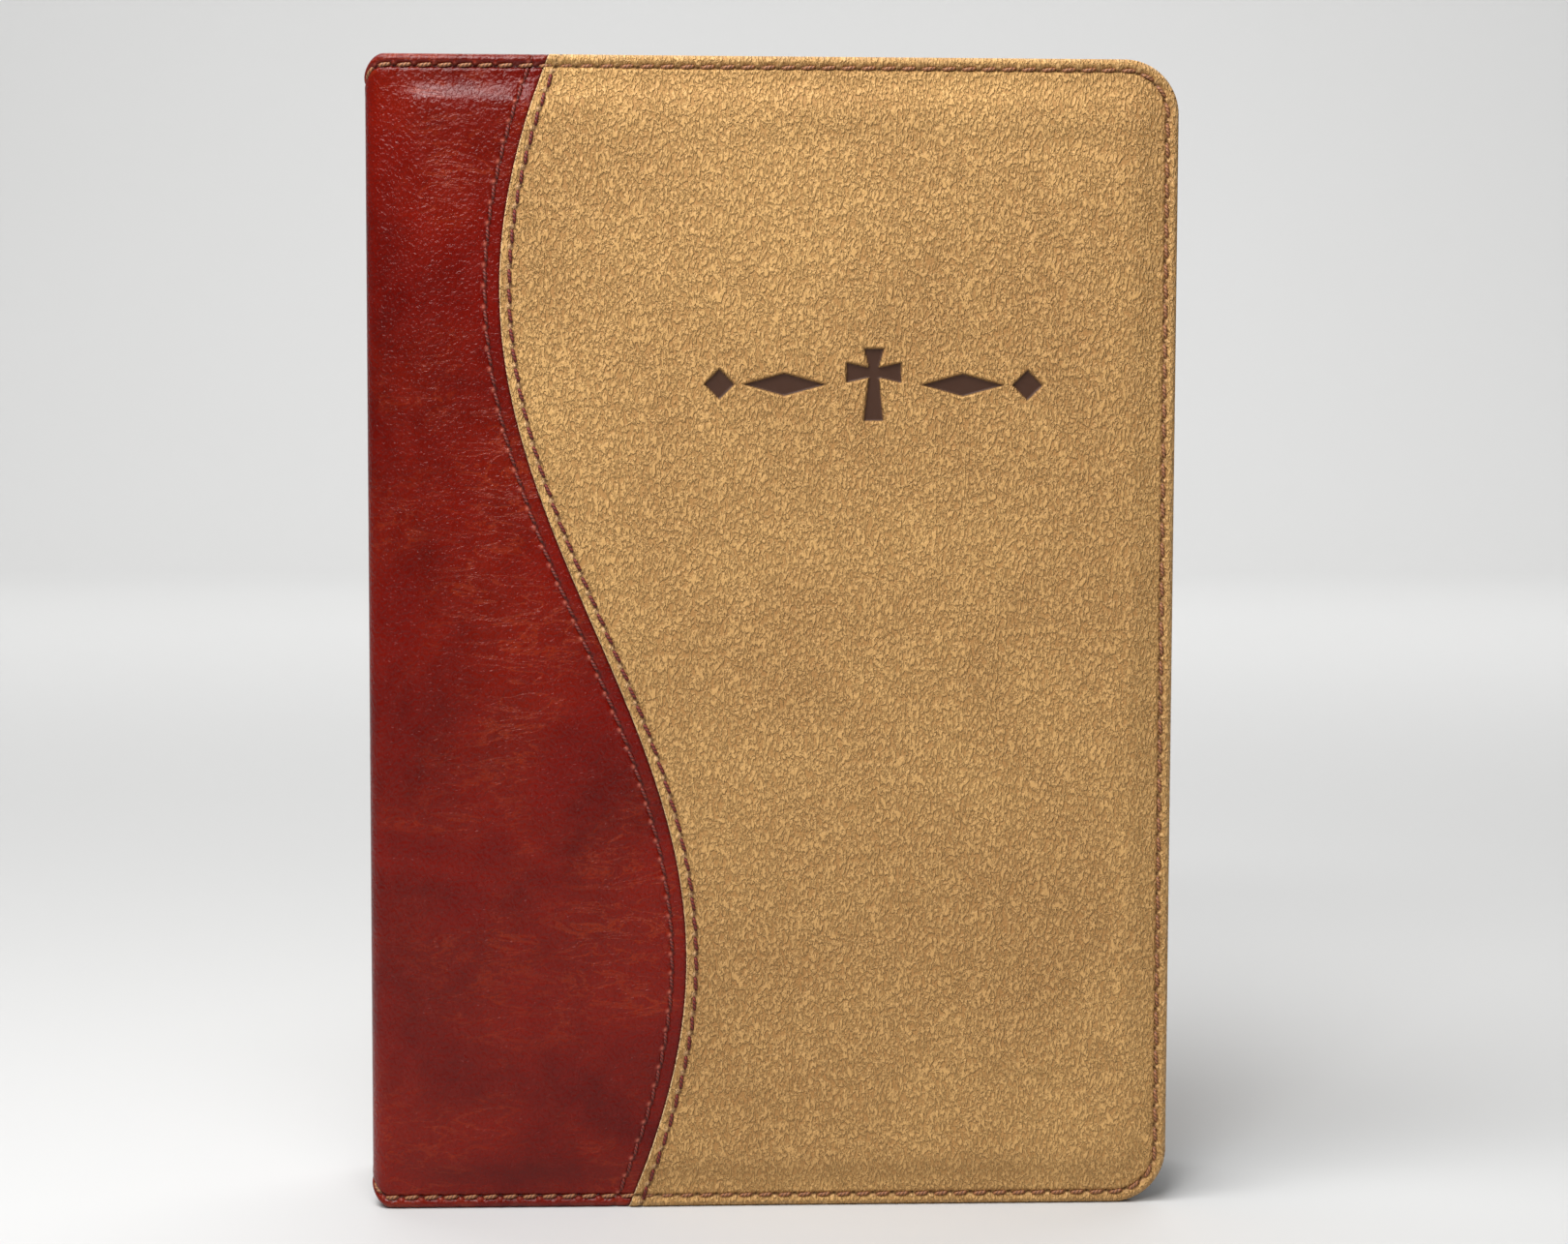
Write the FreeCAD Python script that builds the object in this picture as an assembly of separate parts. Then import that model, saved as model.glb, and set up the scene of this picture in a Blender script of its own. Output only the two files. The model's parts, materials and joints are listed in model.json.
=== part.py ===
import FreeCAD, Part
import math
import os

# A zip-around bible that stands on its tail edge, in millimetres.
# The front cover faces -Y, the spine is at -X, the fore-edge at +X and the head at +Z.
# The origin is the middle of the footprint of the closed book, on the surface it stands on.

# Whole case
case_width = 140.0
case_height = 200.0
case_thickness = 34.0
fore_corner_radius = 9.5
spine_corner_radius = 3.5
spine_round_radius = 4.0
edge_softening = 0.7

# Layers of a cover, from the outside in
leather_thickness = 0.9
foam_thickness = 0.8
board_thickness = 1.2
lining_thickness = 0.4
pastedown_thickness = 0.25
rim_width = 1.6
foam_inset = 4.0
pastedown_inset = 7.5

# Hinge between spine and cover
hinge_setback = 4.5
hinge_gap = 0.5
hinge_flap = 5.0

# Spine
spine_board_margin = 4.5
backing_cloth_thickness = 0.5
page_back_depth = 5.0
band_diameter = 1.7

# S-shaped seam between the two leathers, measured from the spine edge, as shares of the height
seam_mean = 39.2
seam_swing = 16.0
seam_crest = 0.22
seam_period = 1.16
seam_lap = 4.0
lap_thickness = 0.25

# Stitching
stitch_pitch = 3.45
stitch_gap = 0.75
thread_diameter = 0.45
groove_width = 0.9
groove_floor = 0.4
edge_stitch_inset = 2.0
tan_seam_stitch = 1.7
red_seam_stitch = 2.5
red_stitch_length = 1.3

# Stamped ornament on the front cover
ornament_from_spine = 87.4
ornament_height = 144.0
ornament_length = 58.6
cross_height = 12.5
cross_width = 9.6
cross_waist = 1.9
cross_flare = 3.6
bar_length = 14.6
bar_width = 4.0
lozenge_length = 5.4
lozenge_width = 5.4
lozenge_space = 1.2
stamp_depth = 0.3

# Zip
tape_thickness = 0.6
tape_end_inset = 4.4
tape_side_inset = 1.7
tape_flange_outer = 0.6
tape_flange_inner = 7.0
tape_setback = 12.0
coil_width = 2.6
coil_thickness = 1.2
coil_half_gap = 0.6
stop_length = 1.4
slider_length = 11.0
slider_width = 8.6
slider_nose_width = 6.8
slider_wing = 0.8
slider_clearance = 0.2
slider_post = 0.6
slider_post_length = 3.0
bail_width = 1.6
bail_reach = 3.0
bail_thickness = 0.7
pull_thickness = 0.9
pull_clearance = 0.1
pull_arm_gap = 0.3
pull_arm_width = 0.9
pull_arm_length = 4.6
pull_length = 26.0
pull_width = 7.0
pull_hole_radius = 1.1

# Pages
page_end_clearance = 0.2
page_fore_clearance = 2.2
page_corner_radius = 7.0
leaf_clearance = 0.3
flyleaf_thickness = 0.45
flyleaf_gap = 0.2
groups_per_side = 3
group_gap = 0.15
ribbon_gap = 0.8
ribbon_thickness = 0.24
ribbon_width = 6.0
ribbon_from_fold = 8.0
ribbon_end_clearance = 0.4

# Places worked out from the sizes above
groove_depth = leather_thickness - groove_floor
x_spine = -case_width / 2
x_fore = case_width / 2
y_front = -case_thickness / 2
y_foam = y_front + leather_thickness
y_board = y_foam + foam_thickness
y_lining = y_board + board_thickness
y_pastedown = y_lining + lining_thickness
y_inside = y_pastedown + pastedown_thickness
x_hinge = x_spine + hinge_setback
x_board = x_hinge + hinge_flap
x_tape = x_spine + tape_setback
z_tape = case_height - tape_end_inset
x_page_fold = (
    x_spine + leather_thickness + board_thickness + lining_thickness
    + backing_cloth_thickness + page_back_depth
)
page_end_margin = (
    tape_end_inset + tape_thickness + slider_clearance + slider_wing + page_end_clearance
)
x_page_fore = x_fore - tape_side_inset - tape_thickness - page_fore_clearance
z_page_tail = page_end_margin
z_page_head = case_height - page_end_margin
y_flyleaf = y_inside + leaf_clearance
y_groups = y_flyleaf + flyleaf_thickness + flyleaf_gap
group_thickness = (
    (-ribbon_gap / 2 - y_groups - (groups_per_side - 1) * group_gap) / groups_per_side
)
fold_zone = group_thickness + group_gap
slider_x = x_tape + stop_length + slider_clearance + slider_length / 2
beyond = 5.0


def vector(x, y, z):
    return FreeCAD.Vector(x, y, z)


def block(x0, x1, y0, y1, z0, z1):
    return Part.makeBox(x1 - x0, y1 - y0, z1 - z0, vector(x0, y0, z0))


def mirrored(shape):
    """The same piece on the back cover."""
    return shape.mirror(vector(0, 0, 0), vector(0, 1, 0))


def case_wire(side_inset, end_inset, y):
    """Outline of the case, drawn in from its edges, with its four round corners."""
    fore = max(fore_corner_radius - side_inset, 0.5)
    back = max(spine_corner_radius - side_inset, 0.5)
    x0 = x_spine + side_inset
    x1 = x_fore - side_inset
    z0 = end_inset
    z1 = case_height - end_inset
    diagonal = math.sqrt(0.5)

    def corner(x, z, radius, sx, sz):
        centre = vector(x - sx * radius, y, z - sz * radius)
        along_x = centre + vector(0, 0, sz * radius)
        middle = centre + vector(sx * radius * diagonal, 0, sz * radius * diagonal)
        along_z = centre + vector(sx * radius, 0, 0)
        return along_x, middle, along_z

    head_fore = corner(x1, z1, fore, 1, 1)
    tail_fore = corner(x1, z0, fore, 1, -1)
    tail_back = corner(x0, z0, back, -1, -1)
    head_back = corner(x0, z1, back, -1, 1)
    edges = [
        Part.LineSegment(head_back[0], head_fore[0]).toShape(),
        Part.Arc(*head_fore).toShape(),
        Part.LineSegment(head_fore[2], tail_fore[2]).toShape(),
        Part.Arc(*reversed(tail_fore)).toShape(),
        Part.LineSegment(tail_fore[0], tail_back[0]).toShape(),
        Part.Arc(*tail_back).toShape(),
        Part.LineSegment(tail_back[2], head_back[2]).toShape(),
        Part.Arc(*reversed(head_back)).toShape(),
    ]
    return Part.Wire(edges)


def case_prism(side_inset, end_inset, y0, y1):
    face = Part.Face(case_wire(side_inset, end_inset, y0))
    return face.extrude(vector(0, y1 - y0, 0))


def case_ring(outer, inner, y0, y1):
    """Band between two insets, each (side, end), running round the case."""
    return case_prism(*outer, y0, y1).cut(case_prism(*inner, y0, y1))


def right_of(shape, x):
    """The part of a shape on the fore-edge side of x."""
    room = block(
        x, x_fore + beyond, -case_thickness, case_thickness, -beyond, case_height + beyond
    )
    return shape.common(room)


def seam_point(share, offset, y):
    """Point on the seam at a share of the height, moved square to it towards the fore-edge."""
    turn = 2 * math.pi / seam_period
    angle = turn * (share - seam_crest)
    x = x_spine + seam_mean + seam_swing * math.cos(angle)
    slope = -seam_swing * turn * math.sin(angle) / case_height
    length = math.hypot(1, slope)
    return vector(x + offset / length, y, share * case_height - offset * slope / length)


def seam_edge(offset, y, start=-0.04, stop=1.04, steps=24):
    shares = [start + (stop - start) * i / steps for i in range(steps + 1)]
    curve = Part.BSplineCurve()
    curve.interpolate([seam_point(share, offset, y) for share in shares])
    return curve.toShape()


def seam_region(first, second, y0, y1):
    """Prism between two lines that run beside the seam."""
    left = seam_edge(first, y0)
    right = seam_edge(second, y0)
    left_ends = [left.valueAt(t) for t in left.ParameterRange]
    right_ends = [right.valueAt(t) for t in right.ParameterRange]
    tail = Part.LineSegment(left_ends[0], right_ends[0]).toShape()
    head = Part.LineSegment(left_ends[1], right_ends[1]).toShape()
    outline = Part.Wire(Part.__sortEdges__([left, head, right, tail]))
    return Part.Face(outline).extrude(vector(0, y1 - y0, 0))


def fore_side_of_seam(offset, y0, y1):
    """Everything on the fore-edge side of the seam."""
    left = seam_edge(offset, y0)
    ends = [left.valueAt(t) for t in left.ParameterRange]
    far = x_fore + beyond
    corners = [ends[1], vector(far, y0, ends[1].z), vector(far, y0, ends[0].z), ends[0]]
    edges = [left]
    for start, stop in zip(corners, corners[1:]):
        edges.append(Part.LineSegment(start, stop).toShape())
    outline = Part.Wire(Part.__sortEdges__(edges))
    return Part.Face(outline).extrude(vector(0, y1 - y0, 0))


def thread_row(points, length):
    """One sunk stitch, a short straight thread, centred between each two needle points."""
    stitches = []
    for start, stop in zip(points, points[1:]):
        run = stop - start
        direction = vector(*run).normalize()
        base = (start + stop) * 0.5 - direction * (length / 2)
        stitches.append(Part.makeCylinder(thread_diameter / 2, length, base, direction))
    return Part.Compound(stitches)


def walk(wire, pitch):
    """Evenly spaced points along a wire, a whole number of stitches apart."""
    return wire.discretize(Number=int(round(wire.Length / pitch)) + 1)


def leather_skin():
    """Both leathers of the front cover as one: outer face with a turned rim on three sides."""
    outer = case_prism(0, 0, y_front, y_lining)
    soft = [
        edge for edge in outer.Edges
        if all(abs(vertex.Point.y - y_front) < 1e-6 for vertex in edge.Vertexes)
    ]
    outer = outer.makeFillet(edge_softening, soft)
    hollow = case_prism(rim_width, rim_width, y_foam, y_lining)
    flap = block(x_spine, x_board, y_foam, y_lining, 0, case_height)
    skin = outer.cut(hollow).cut(flap)
    skin = right_of(skin, x_hinge + hinge_gap / 2)
    return skin.cut(edge_groove())


def edge_groove():
    near = edge_stitch_inset - groove_width / 2
    far = edge_stitch_inset + groove_width / 2
    return case_ring((near, near), (far, far), y_front, y_front + groove_depth)


def seam_groove(offset):
    return seam_region(
        offset - groove_width / 2, offset + groove_width / 2, y_front, y_front + groove_depth
    )


def ornament_stamp():
    """Flared cross between two tapered bars, each followed by a lozenge, all stamped in."""
    x_middle = x_spine + ornament_from_spine
    y0 = y_front - beyond
    y1 = y_front + stamp_depth

    def polygon(points, z_middle=ornament_height):
        corners = [vector(x_middle + x, y0, z_middle + z) for x, z in points]
        wire = Part.makePolygon(corners + corners[:1])
        return Part.Face(wire).extrude(vector(0, y1 - y0, 0))

    def diamond(middle, length, width):
        return polygon([
            (middle - length / 2, 0), (middle, -width / 2),
            (middle + length / 2, 0), (middle, width / 2),
        ])

    crossing = cross_height / 6
    up = cross_height / 2 - crossing
    down = cross_height / 2 + crossing
    arm = cross_width / 2
    waist = cross_waist / 2
    flare = cross_flare / 2
    cross = polygon([
        (-waist, waist), (-flare, up), (flare, up), (waist, waist),
        (arm, flare), (arm, -flare), (waist, -waist), (flare, -down),
        (-flare, -down), (-waist, -waist), (-arm, -flare), (-arm, flare),
    ], ornament_height + crossing)
    pieces = [cross]
    for side in (-1, 1):
        lozenge = ornament_length / 2 - lozenge_length / 2
        bar = ornament_length / 2 - lozenge_length - lozenge_space - bar_length / 2
        pieces.append(diamond(side * lozenge, lozenge_length, lozenge_width))
        pieces.append(diamond(side * bar, bar_length, bar_width))
    return Part.Compound(pieces)


def cover_leathers(with_ornament):
    """The red leather, and the tan leather that laps over its edge."""
    skin = leather_skin()
    fore_side = fore_side_of_seam(0, y_front - beyond, y_lining + beyond)
    lap = seam_region(0, seam_lap, y_foam - lap_thickness, y_foam)
    lap = lap.common(case_prism(rim_width, rim_width, y_front, y_lining))
    red = skin.cut(fore_side).fuse(lap.common(skin)).removeSplitter()
    tan = skin.common(fore_side).cut(lap)
    red = red.cut(seam_groove(-red_seam_stitch))
    tan = tan.cut(seam_groove(tan_seam_stitch))
    if with_ornament:
        tan = tan.cut(ornament_stamp())
    return red, tan


def cover_layer(side_inset, y0, thickness):
    """Foam, board, lining or pastedown: a plate inside the rim, clear of the hinge."""
    return right_of(case_prism(side_inset, side_inset, y0, y0 + thickness), x_board)


def edge_stitching():
    y = y_front + groove_depth - thread_diameter / 2
    whole = case_wire(edge_stitch_inset, edge_stitch_inset, y)
    near = x_hinge + hinge_gap
    run = right_of(whole, near)
    line = Part.Wire(Part.__sortEdges__(run.Edges))
    return thread_row(walk(line, stitch_pitch), stitch_pitch - stitch_gap)


def seam_stitching(offset, length):
    y = y_front + groove_depth - thread_diameter / 2
    margin = (edge_stitch_inset + groove_width) / case_height
    edge = seam_edge(offset, y, margin, 1.0 - margin)
    return thread_row(walk(Part.Wire([edge]), stitch_pitch), length)


def tape():
    """Tape sewn in round the cover: a flange on the board's rim, and a wall up to the coil."""
    flange = case_ring(
        (tape_flange_outer, tape_flange_outer), (tape_flange_inner, tape_flange_inner),
        y_lining, y_lining + lining_thickness,
    )
    wall = case_ring(
        (tape_side_inset, tape_end_inset),
        (tape_side_inset + tape_thickness, tape_end_inset + tape_thickness),
        y_lining, -coil_half_gap,
    )
    return right_of(flange.fuse(wall), x_tape).removeSplitter()


def coil(x_head_start):
    """Coil along the free edge of the tape, on its outer side."""
    strip = case_ring(
        (tape_side_inset - coil_thickness, tape_end_inset - coil_thickness),
        (tape_side_inset, tape_end_inset),
        -coil_half_gap - coil_width, -coil_half_gap,
    )
    strip = right_of(strip, x_tape + stop_length)
    half = case_height / 2
    before_slider = block(x_spine, x_head_start, -case_thickness, 0, half, case_height)
    return strip.cut(before_slider)


def zip_stops():
    """Crimped end stops of one tape, one at the head and one at the tail."""
    stops = []
    for z0 in (z_tape, tape_end_inset - coil_thickness):
        stops.append(block(
            x_tape, x_tape + stop_length, -coil_half_gap - coil_width, -coil_half_gap,
            z0, z0 + coil_thickness,
        ))
    return Part.Compound(stops)


def slider_body():
    """Two wings joined by a post between the coils, with a bail on the outer wing."""
    x0 = slider_x - slider_length / 2
    x1 = slider_x + slider_length / 2
    wide = slider_width / 2
    nose = slider_nose_width / 2
    z_inner = z_tape - tape_thickness - slider_clearance - slider_wing
    z_outer = z_tape + coil_thickness + slider_clearance

    def wing(z):
        corners = [
            vector(x0, -wide, z), vector(slider_x, -wide, z), vector(x1, -nose, z),
            vector(x1, nose, z), vector(slider_x, wide, z), vector(x0, wide, z),
        ]
        plate = Part.Face(Part.makePolygon(corners + corners[:1]))
        plate = plate.extrude(vector(0, 0, slider_wing))
        upright = [
            edge for edge in plate.Edges
            if abs(edge.Vertexes[0].Z - edge.Vertexes[1].Z) > slider_wing / 2
        ]
        return plate.makeFillet(slider_wing, upright)

    half_post = slider_post / 2
    post = block(
        x0 + slider_wing, x0 + slider_wing + slider_post_length, -half_post, half_post,
        z_inner, z_outer + slider_wing,
    )
    z_bail = z_outer + slider_wing
    window = pull_thickness + 2 * pull_clearance
    bail = block(
        slider_x - bail_reach, slider_x + bail_reach, -bail_width / 2, bail_width / 2,
        z_bail, z_bail + window + bail_thickness,
    )
    bail = bail.cut(block(
        slider_x - bail_reach + bail_thickness, slider_x + bail_reach - bail_thickness,
        -bail_width, bail_width, z_bail, z_bail + window,
    ))
    return wing(z_inner).fuse([wing(z_outer), post, bail]).removeSplitter()


def pull_tab():
    """Flat pull: a round bar held by the bail, two arms, and a plate with a hole at its end."""
    z_axis = (
        z_tape + coil_thickness + slider_clearance + slider_wing
        + pull_clearance + pull_thickness / 2
    )
    z0 = z_axis - pull_thickness / 2
    inner = bail_width / 2 + pull_arm_gap
    outer = inner + pull_arm_width
    bar = Part.makeCylinder(
        pull_thickness / 2, 2 * outer, vector(slider_x, -outer, z_axis), vector(0, 1, 0)
    )
    arms = []
    for side in (-1, 1):
        near = min(side * inner, side * outer)
        arms.append(block(
            slider_x, slider_x + pull_arm_length, near, near + pull_arm_width,
            z0, z0 + pull_thickness,
        ))
    plate = block(
        slider_x + pull_arm_length, slider_x + pull_length, -pull_width / 2, pull_width / 2,
        z0, z0 + pull_thickness,
    )
    upright = [
        edge for edge in plate.Edges
        if abs(edge.Vertexes[0].Z - edge.Vertexes[1].Z) > pull_thickness / 2
    ]
    plate = plate.makeFillet(pull_width / 4, upright)
    hole = Part.makeCylinder(
        pull_hole_radius, pull_thickness,
        vector(slider_x + pull_length - pull_width / 2, 0, z0), vector(0, 0, 1),
    )
    return plate.fuse([bar] + arms).cut(hole).removeSplitter()


def spine_profile(inset, y_reach):
    """Prism of the rounded spine, drawn in from its outer face, as far as the hinge."""
    radius = spine_round_radius - inset
    x0 = x_spine + inset
    prism = block(
        x0, x_hinge + beyond, y_front + inset, -y_front - inset, -beyond, case_height + beyond
    )
    corners = [
        edge for edge in prism.Edges
        if all(abs(vertex.X - x0) < 1e-6 for vertex in edge.Vertexes)
        and abs(edge.Vertexes[0].Z - edge.Vertexes[1].Z) > case_height
    ]
    return prism.makeFillet(radius, corners).cut(
        block(y_reach, x_fore, -case_thickness, case_thickness, -2 * beyond, 2 * case_height)
    )


def spine_leather():
    """Leather bent round the spine, with a groove near its head and tail for the thread."""
    end = x_hinge - hinge_gap / 2
    shell = spine_profile(0, end).cut(spine_profile(leather_thickness, end + beyond))
    shell = shell.common(case_prism(0, 0, y_front - beyond, -y_front + beyond))
    flat = -y_front - spine_round_radius
    for z in (edge_stitch_inset, case_height - edge_stitch_inset):
        shell = shell.cut(block(
            x_spine, x_spine + groove_depth, -flat, flat,
            z - groove_width / 2, z + groove_width / 2,
        ))
    return shell


def spine_stitching():
    flat = -y_front - spine_round_radius
    x = x_spine + groove_depth - thread_diameter / 2
    rows = []
    for z in (edge_stitch_inset, case_height - edge_stitch_inset):
        line = Part.Wire([Part.LineSegment(vector(x, -flat, z), vector(x, flat, z)).toShape()])
        rows.append(thread_row(walk(line, stitch_pitch), stitch_pitch - stitch_gap))
    return Part.Compound([stitch for row in rows for stitch in row.Solids])


def spine_layer(x0, thickness, margin):
    """Board, lining or cloth behind the spine leather."""
    reach = -y_front - margin
    return block(x0, x0 + thickness, -reach, reach, margin, case_height - margin)


def head_band(z):
    """Woven roll sewn over one end of the page block's back."""
    reach = -y_flyleaf
    radius = band_diameter / 2
    x = x_page_fold - page_back_depth + radius
    return Part.makeCylinder(radius, 2 * reach, vector(x, -reach, z), vector(0, 1, 0))


def page_slab(y0, thickness):
    """A run of leaves from where they fold to the fore-edge, with rounded fore corners."""
    slab = block(
        x_page_fold + fold_zone, x_page_fore, y0, y0 + thickness, z_page_tail, z_page_head
    )
    corners = [
        edge for edge in slab.Edges
        if all(abs(vertex.X - x_page_fore) < 1e-6 for vertex in edge.Vertexes)
        and abs(edge.Vertexes[0].Y - edge.Vertexes[1].Y) > thickness / 2
    ]
    return slab.makeFillet(page_corner_radius, corners)


def ribbon_marker():
    x0 = x_page_fold + fold_zone + ribbon_from_fold
    half = ribbon_thickness / 2
    tail = tape_end_inset + tape_thickness + ribbon_end_clearance
    return block(x0, x0 + ribbon_width, -half, half, tail, z_page_head)


def build():
    nodes = {}
    x_layer = x_spine + leather_thickness
    nodes["spine_leather"] = spine_leather()
    nodes["spine_board"] = spine_layer(x_layer, board_thickness, spine_board_margin)
    x_layer += board_thickness
    nodes["spine_lining"] = spine_layer(x_layer, lining_thickness, spine_board_margin)
    x_layer += lining_thickness
    nodes["backing_cloth"] = spine_layer(x_layer, backing_cloth_thickness, page_end_margin)
    x_layer += backing_cloth_thickness
    nodes["spine_stitching"] = spine_stitching()
    nodes["page_block_back"] = block(
        x_layer, x_page_fold, y_flyleaf, -y_flyleaf, z_page_tail, z_page_head
    )
    nodes["headband"] = head_band(z_page_head + band_diameter / 2)
    nodes["tailband"] = head_band(z_page_tail - band_diameter / 2)

    x_coil_start = slider_x + slider_length / 2 + slider_clearance
    cover_layers = {
        "foam": cover_layer(foam_inset, y_foam, foam_thickness),
        "board": cover_layer(rim_width, y_board, board_thickness),
        "lining": cover_layer(tape_flange_inner, y_lining, lining_thickness),
        "pastedown": cover_layer(pastedown_inset, y_pastedown, pastedown_thickness),
        "zip_tape": tape(),
        "zip_stops": zip_stops(),
        "edge_stitching": edge_stitching(),
        "seam_stitching_tan": seam_stitching(tan_seam_stitch, stitch_pitch - stitch_gap),
        "seam_stitching_red": seam_stitching(-red_seam_stitch, red_stitch_length),
    }
    for name, shape in cover_layers.items():
        nodes["front_" + name] = shape
        nodes["back_" + name] = mirrored(shape)
    nodes["front_zip_coil"] = coil(x_coil_start)
    nodes["back_zip_coil"] = mirrored(coil(x_tape))
    nodes["front_leather_red"], nodes["front_leather_tan"] = cover_leathers(True)
    for name, shape in zip(("red", "tan"), cover_leathers(False)):
        nodes["back_leather_" + name] = mirrored(shape)

    flyleaf = page_slab(y_flyleaf, flyleaf_thickness)
    nodes["front_flyleaf"] = flyleaf
    nodes["back_flyleaf"] = mirrored(flyleaf)
    for i in range(groups_per_side):
        pages = page_slab(y_groups + i * (group_thickness + group_gap), group_thickness)
        nodes["front_pages_%d" % (i + 1)] = pages
        nodes["back_pages_%d" % (i + 1)] = mirrored(pages)
    nodes["ribbon_marker"] = ribbon_marker()
    nodes["slider_body"] = slider_body()
    nodes["pull_tab"] = pull_tab()
    return nodes


os.makedirs("parts", exist_ok=True)
for node, shape in build().items():
    shape.exportStep("parts/" + node + ".step")
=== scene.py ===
import json
import math

import bmesh
import bpy
import numpy as np
from mathutils import Matrix, Vector


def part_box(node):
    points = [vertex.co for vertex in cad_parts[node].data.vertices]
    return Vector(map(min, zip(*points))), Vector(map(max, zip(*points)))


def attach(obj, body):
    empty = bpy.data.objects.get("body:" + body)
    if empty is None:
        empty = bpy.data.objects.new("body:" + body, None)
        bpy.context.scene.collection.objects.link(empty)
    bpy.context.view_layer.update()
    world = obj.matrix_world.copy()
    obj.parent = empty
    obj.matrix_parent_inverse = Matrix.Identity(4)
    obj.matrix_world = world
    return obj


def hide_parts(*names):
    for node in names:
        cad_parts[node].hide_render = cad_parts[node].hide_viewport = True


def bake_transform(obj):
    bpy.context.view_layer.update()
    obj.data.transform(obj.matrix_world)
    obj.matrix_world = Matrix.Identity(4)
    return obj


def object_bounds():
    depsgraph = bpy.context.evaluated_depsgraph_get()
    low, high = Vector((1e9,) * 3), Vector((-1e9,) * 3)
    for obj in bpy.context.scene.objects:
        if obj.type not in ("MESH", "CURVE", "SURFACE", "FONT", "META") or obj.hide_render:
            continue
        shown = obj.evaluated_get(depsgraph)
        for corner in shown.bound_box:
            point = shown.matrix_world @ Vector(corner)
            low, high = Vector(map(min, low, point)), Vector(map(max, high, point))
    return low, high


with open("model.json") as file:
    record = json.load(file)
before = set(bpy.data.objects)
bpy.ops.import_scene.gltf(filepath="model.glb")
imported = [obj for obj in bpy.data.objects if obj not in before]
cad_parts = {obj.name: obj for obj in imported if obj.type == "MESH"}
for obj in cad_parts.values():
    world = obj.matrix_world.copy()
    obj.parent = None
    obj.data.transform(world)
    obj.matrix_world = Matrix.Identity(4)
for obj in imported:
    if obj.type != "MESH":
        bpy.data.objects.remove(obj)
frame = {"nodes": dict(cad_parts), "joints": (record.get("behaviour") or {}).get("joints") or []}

# A zip-around bible in two imitation leathers, standing on its tail edge. Shapes are worked out
# in millimetres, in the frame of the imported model, and are turned to metres as each mesh is made.
# The front cover faces -Y, the spine is at -X, the fore-edge at +X and the head at +Z.

cad_low, cad_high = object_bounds()


def millimetres(corner):
    return 1000 * np.array(corner, float)


def extent(node):
    """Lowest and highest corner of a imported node, in millimetres."""
    low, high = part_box(node)
    return millimetres(low), millimetres(high)


def joint_place(name):
    found = next(j for j in frame["joints"] if j["name"] == name)
    return millimetres(found["pos_m"])


x_spine, y_front, z_tail = millimetres(cad_low)
x_fore, _, z_head = millimetres(cad_high)
height = z_head - z_tail
spine_round = 4.0
fore_round = 9.5
spine_corner = 3.5
x_hinge = joint_place("front_cover_hinge")[0]
x_fold = joint_place("front_leaf_turn")[0]
tape_low, tape_high = extent("front_zip_tape")
y_joint = extent("front_zip_coil")[1][1]
y_board_back = extent("front_board")[1][1]
pitch = 3.45
stitch_inset = 2.0

# The seam between the two leathers, from the spine edge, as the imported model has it
seam_mean = 39.2
seam_swing = 16.0
seam_crest = 0.22
seam_period = 1.16
tan_row = 1.7
red_row = -2.5

# The foam pad's rise, the crease and the dent in it, and how far the tan leather stands up where
# it laps over the red, which sinks under it; then depth and width of each row's groove
pad_rise = 1.05
crease_below_head, crease_depth, dent_depth = 15.0, 0.16, 0.14
lap_rise, lap_reach, lap_sink = 0.48, 11.0, 0.45
edge_groove = (0.5, 0.46)
tan_groove = (0.26, 0.42)
red_groove = (0.24, 0.34)

# The stamped ornament
stamp_x = x_spine + 87.4
stamp_z = 144.0
stamp_half_length = 29.3
stamp_depth, stamp_ring = 0.42, 0.07


# ---------------------------------------------------------------- curves and fields

def ease(t):
    """Smooth step from 0 at t = 0 to 1 at t = 1."""
    t = np.clip(t, 0, 1)
    return t * t * (3 - 2 * t)


def bump(distance, width):
    """Bell curve: 1 at no distance, falling off over the width."""
    return np.exp(-((distance / width) ** 2))


seam_turn = 2 * math.pi / seam_period


def seam_angle(z):
    return seam_turn * ((z - z_tail) / height - seam_crest)


def seam_x(z):
    """A cosine along the height: where the seam stands at each level."""
    return x_spine + seam_mean + seam_swing * np.cos(seam_angle(z))


def seam_lean(z):
    """Slope of the seam, across by up."""
    return -seam_swing * seam_turn / height * np.sin(seam_angle(z))


def lengths_along(across, up):
    """Run from the first point to each point of a line."""
    return np.concatenate([[0], np.cumsum(np.hypot(np.diff(across), np.diff(up)))])


seam_levels = np.linspace(z_tail - 8, z_head + 8, 1200)
seam_run = lengths_along(seam_x(seam_levels), seam_levels)


def beside_seam(x, z):
    """Distance from the seam, towards the fore-edge, and the run along it at that point."""
    lean = seam_lean(z)
    away = (x - seam_x(z)) / np.hypot(1, lean)
    foot = z + away * lean / np.hypot(1, lean)
    return away, np.interp(foot, seam_levels, seam_run)


def seam_place(run, away):
    """Point at a run along the seam and a distance from it: level found, then moved square."""
    z = np.interp(run, seam_run, seam_levels)
    lean = seam_lean(z)
    length = np.hypot(1, lean)
    return seam_x(z) + away / length, z - away * lean / length


def inset_of(x, z):
    """Depth inside the case's outline: the nearest edge, or the round fore corner's arc."""
    across = x_fore - x
    up = np.minimum(z - z_tail, z_head - z)
    corner = fore_round - np.hypot(
        np.maximum(fore_round - across, 0), np.maximum(fore_round - up, 0)
    )
    near_corner = (across < fore_round) & (up < fore_round)
    return np.where(near_corner, corner, np.minimum(across, up))


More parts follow.
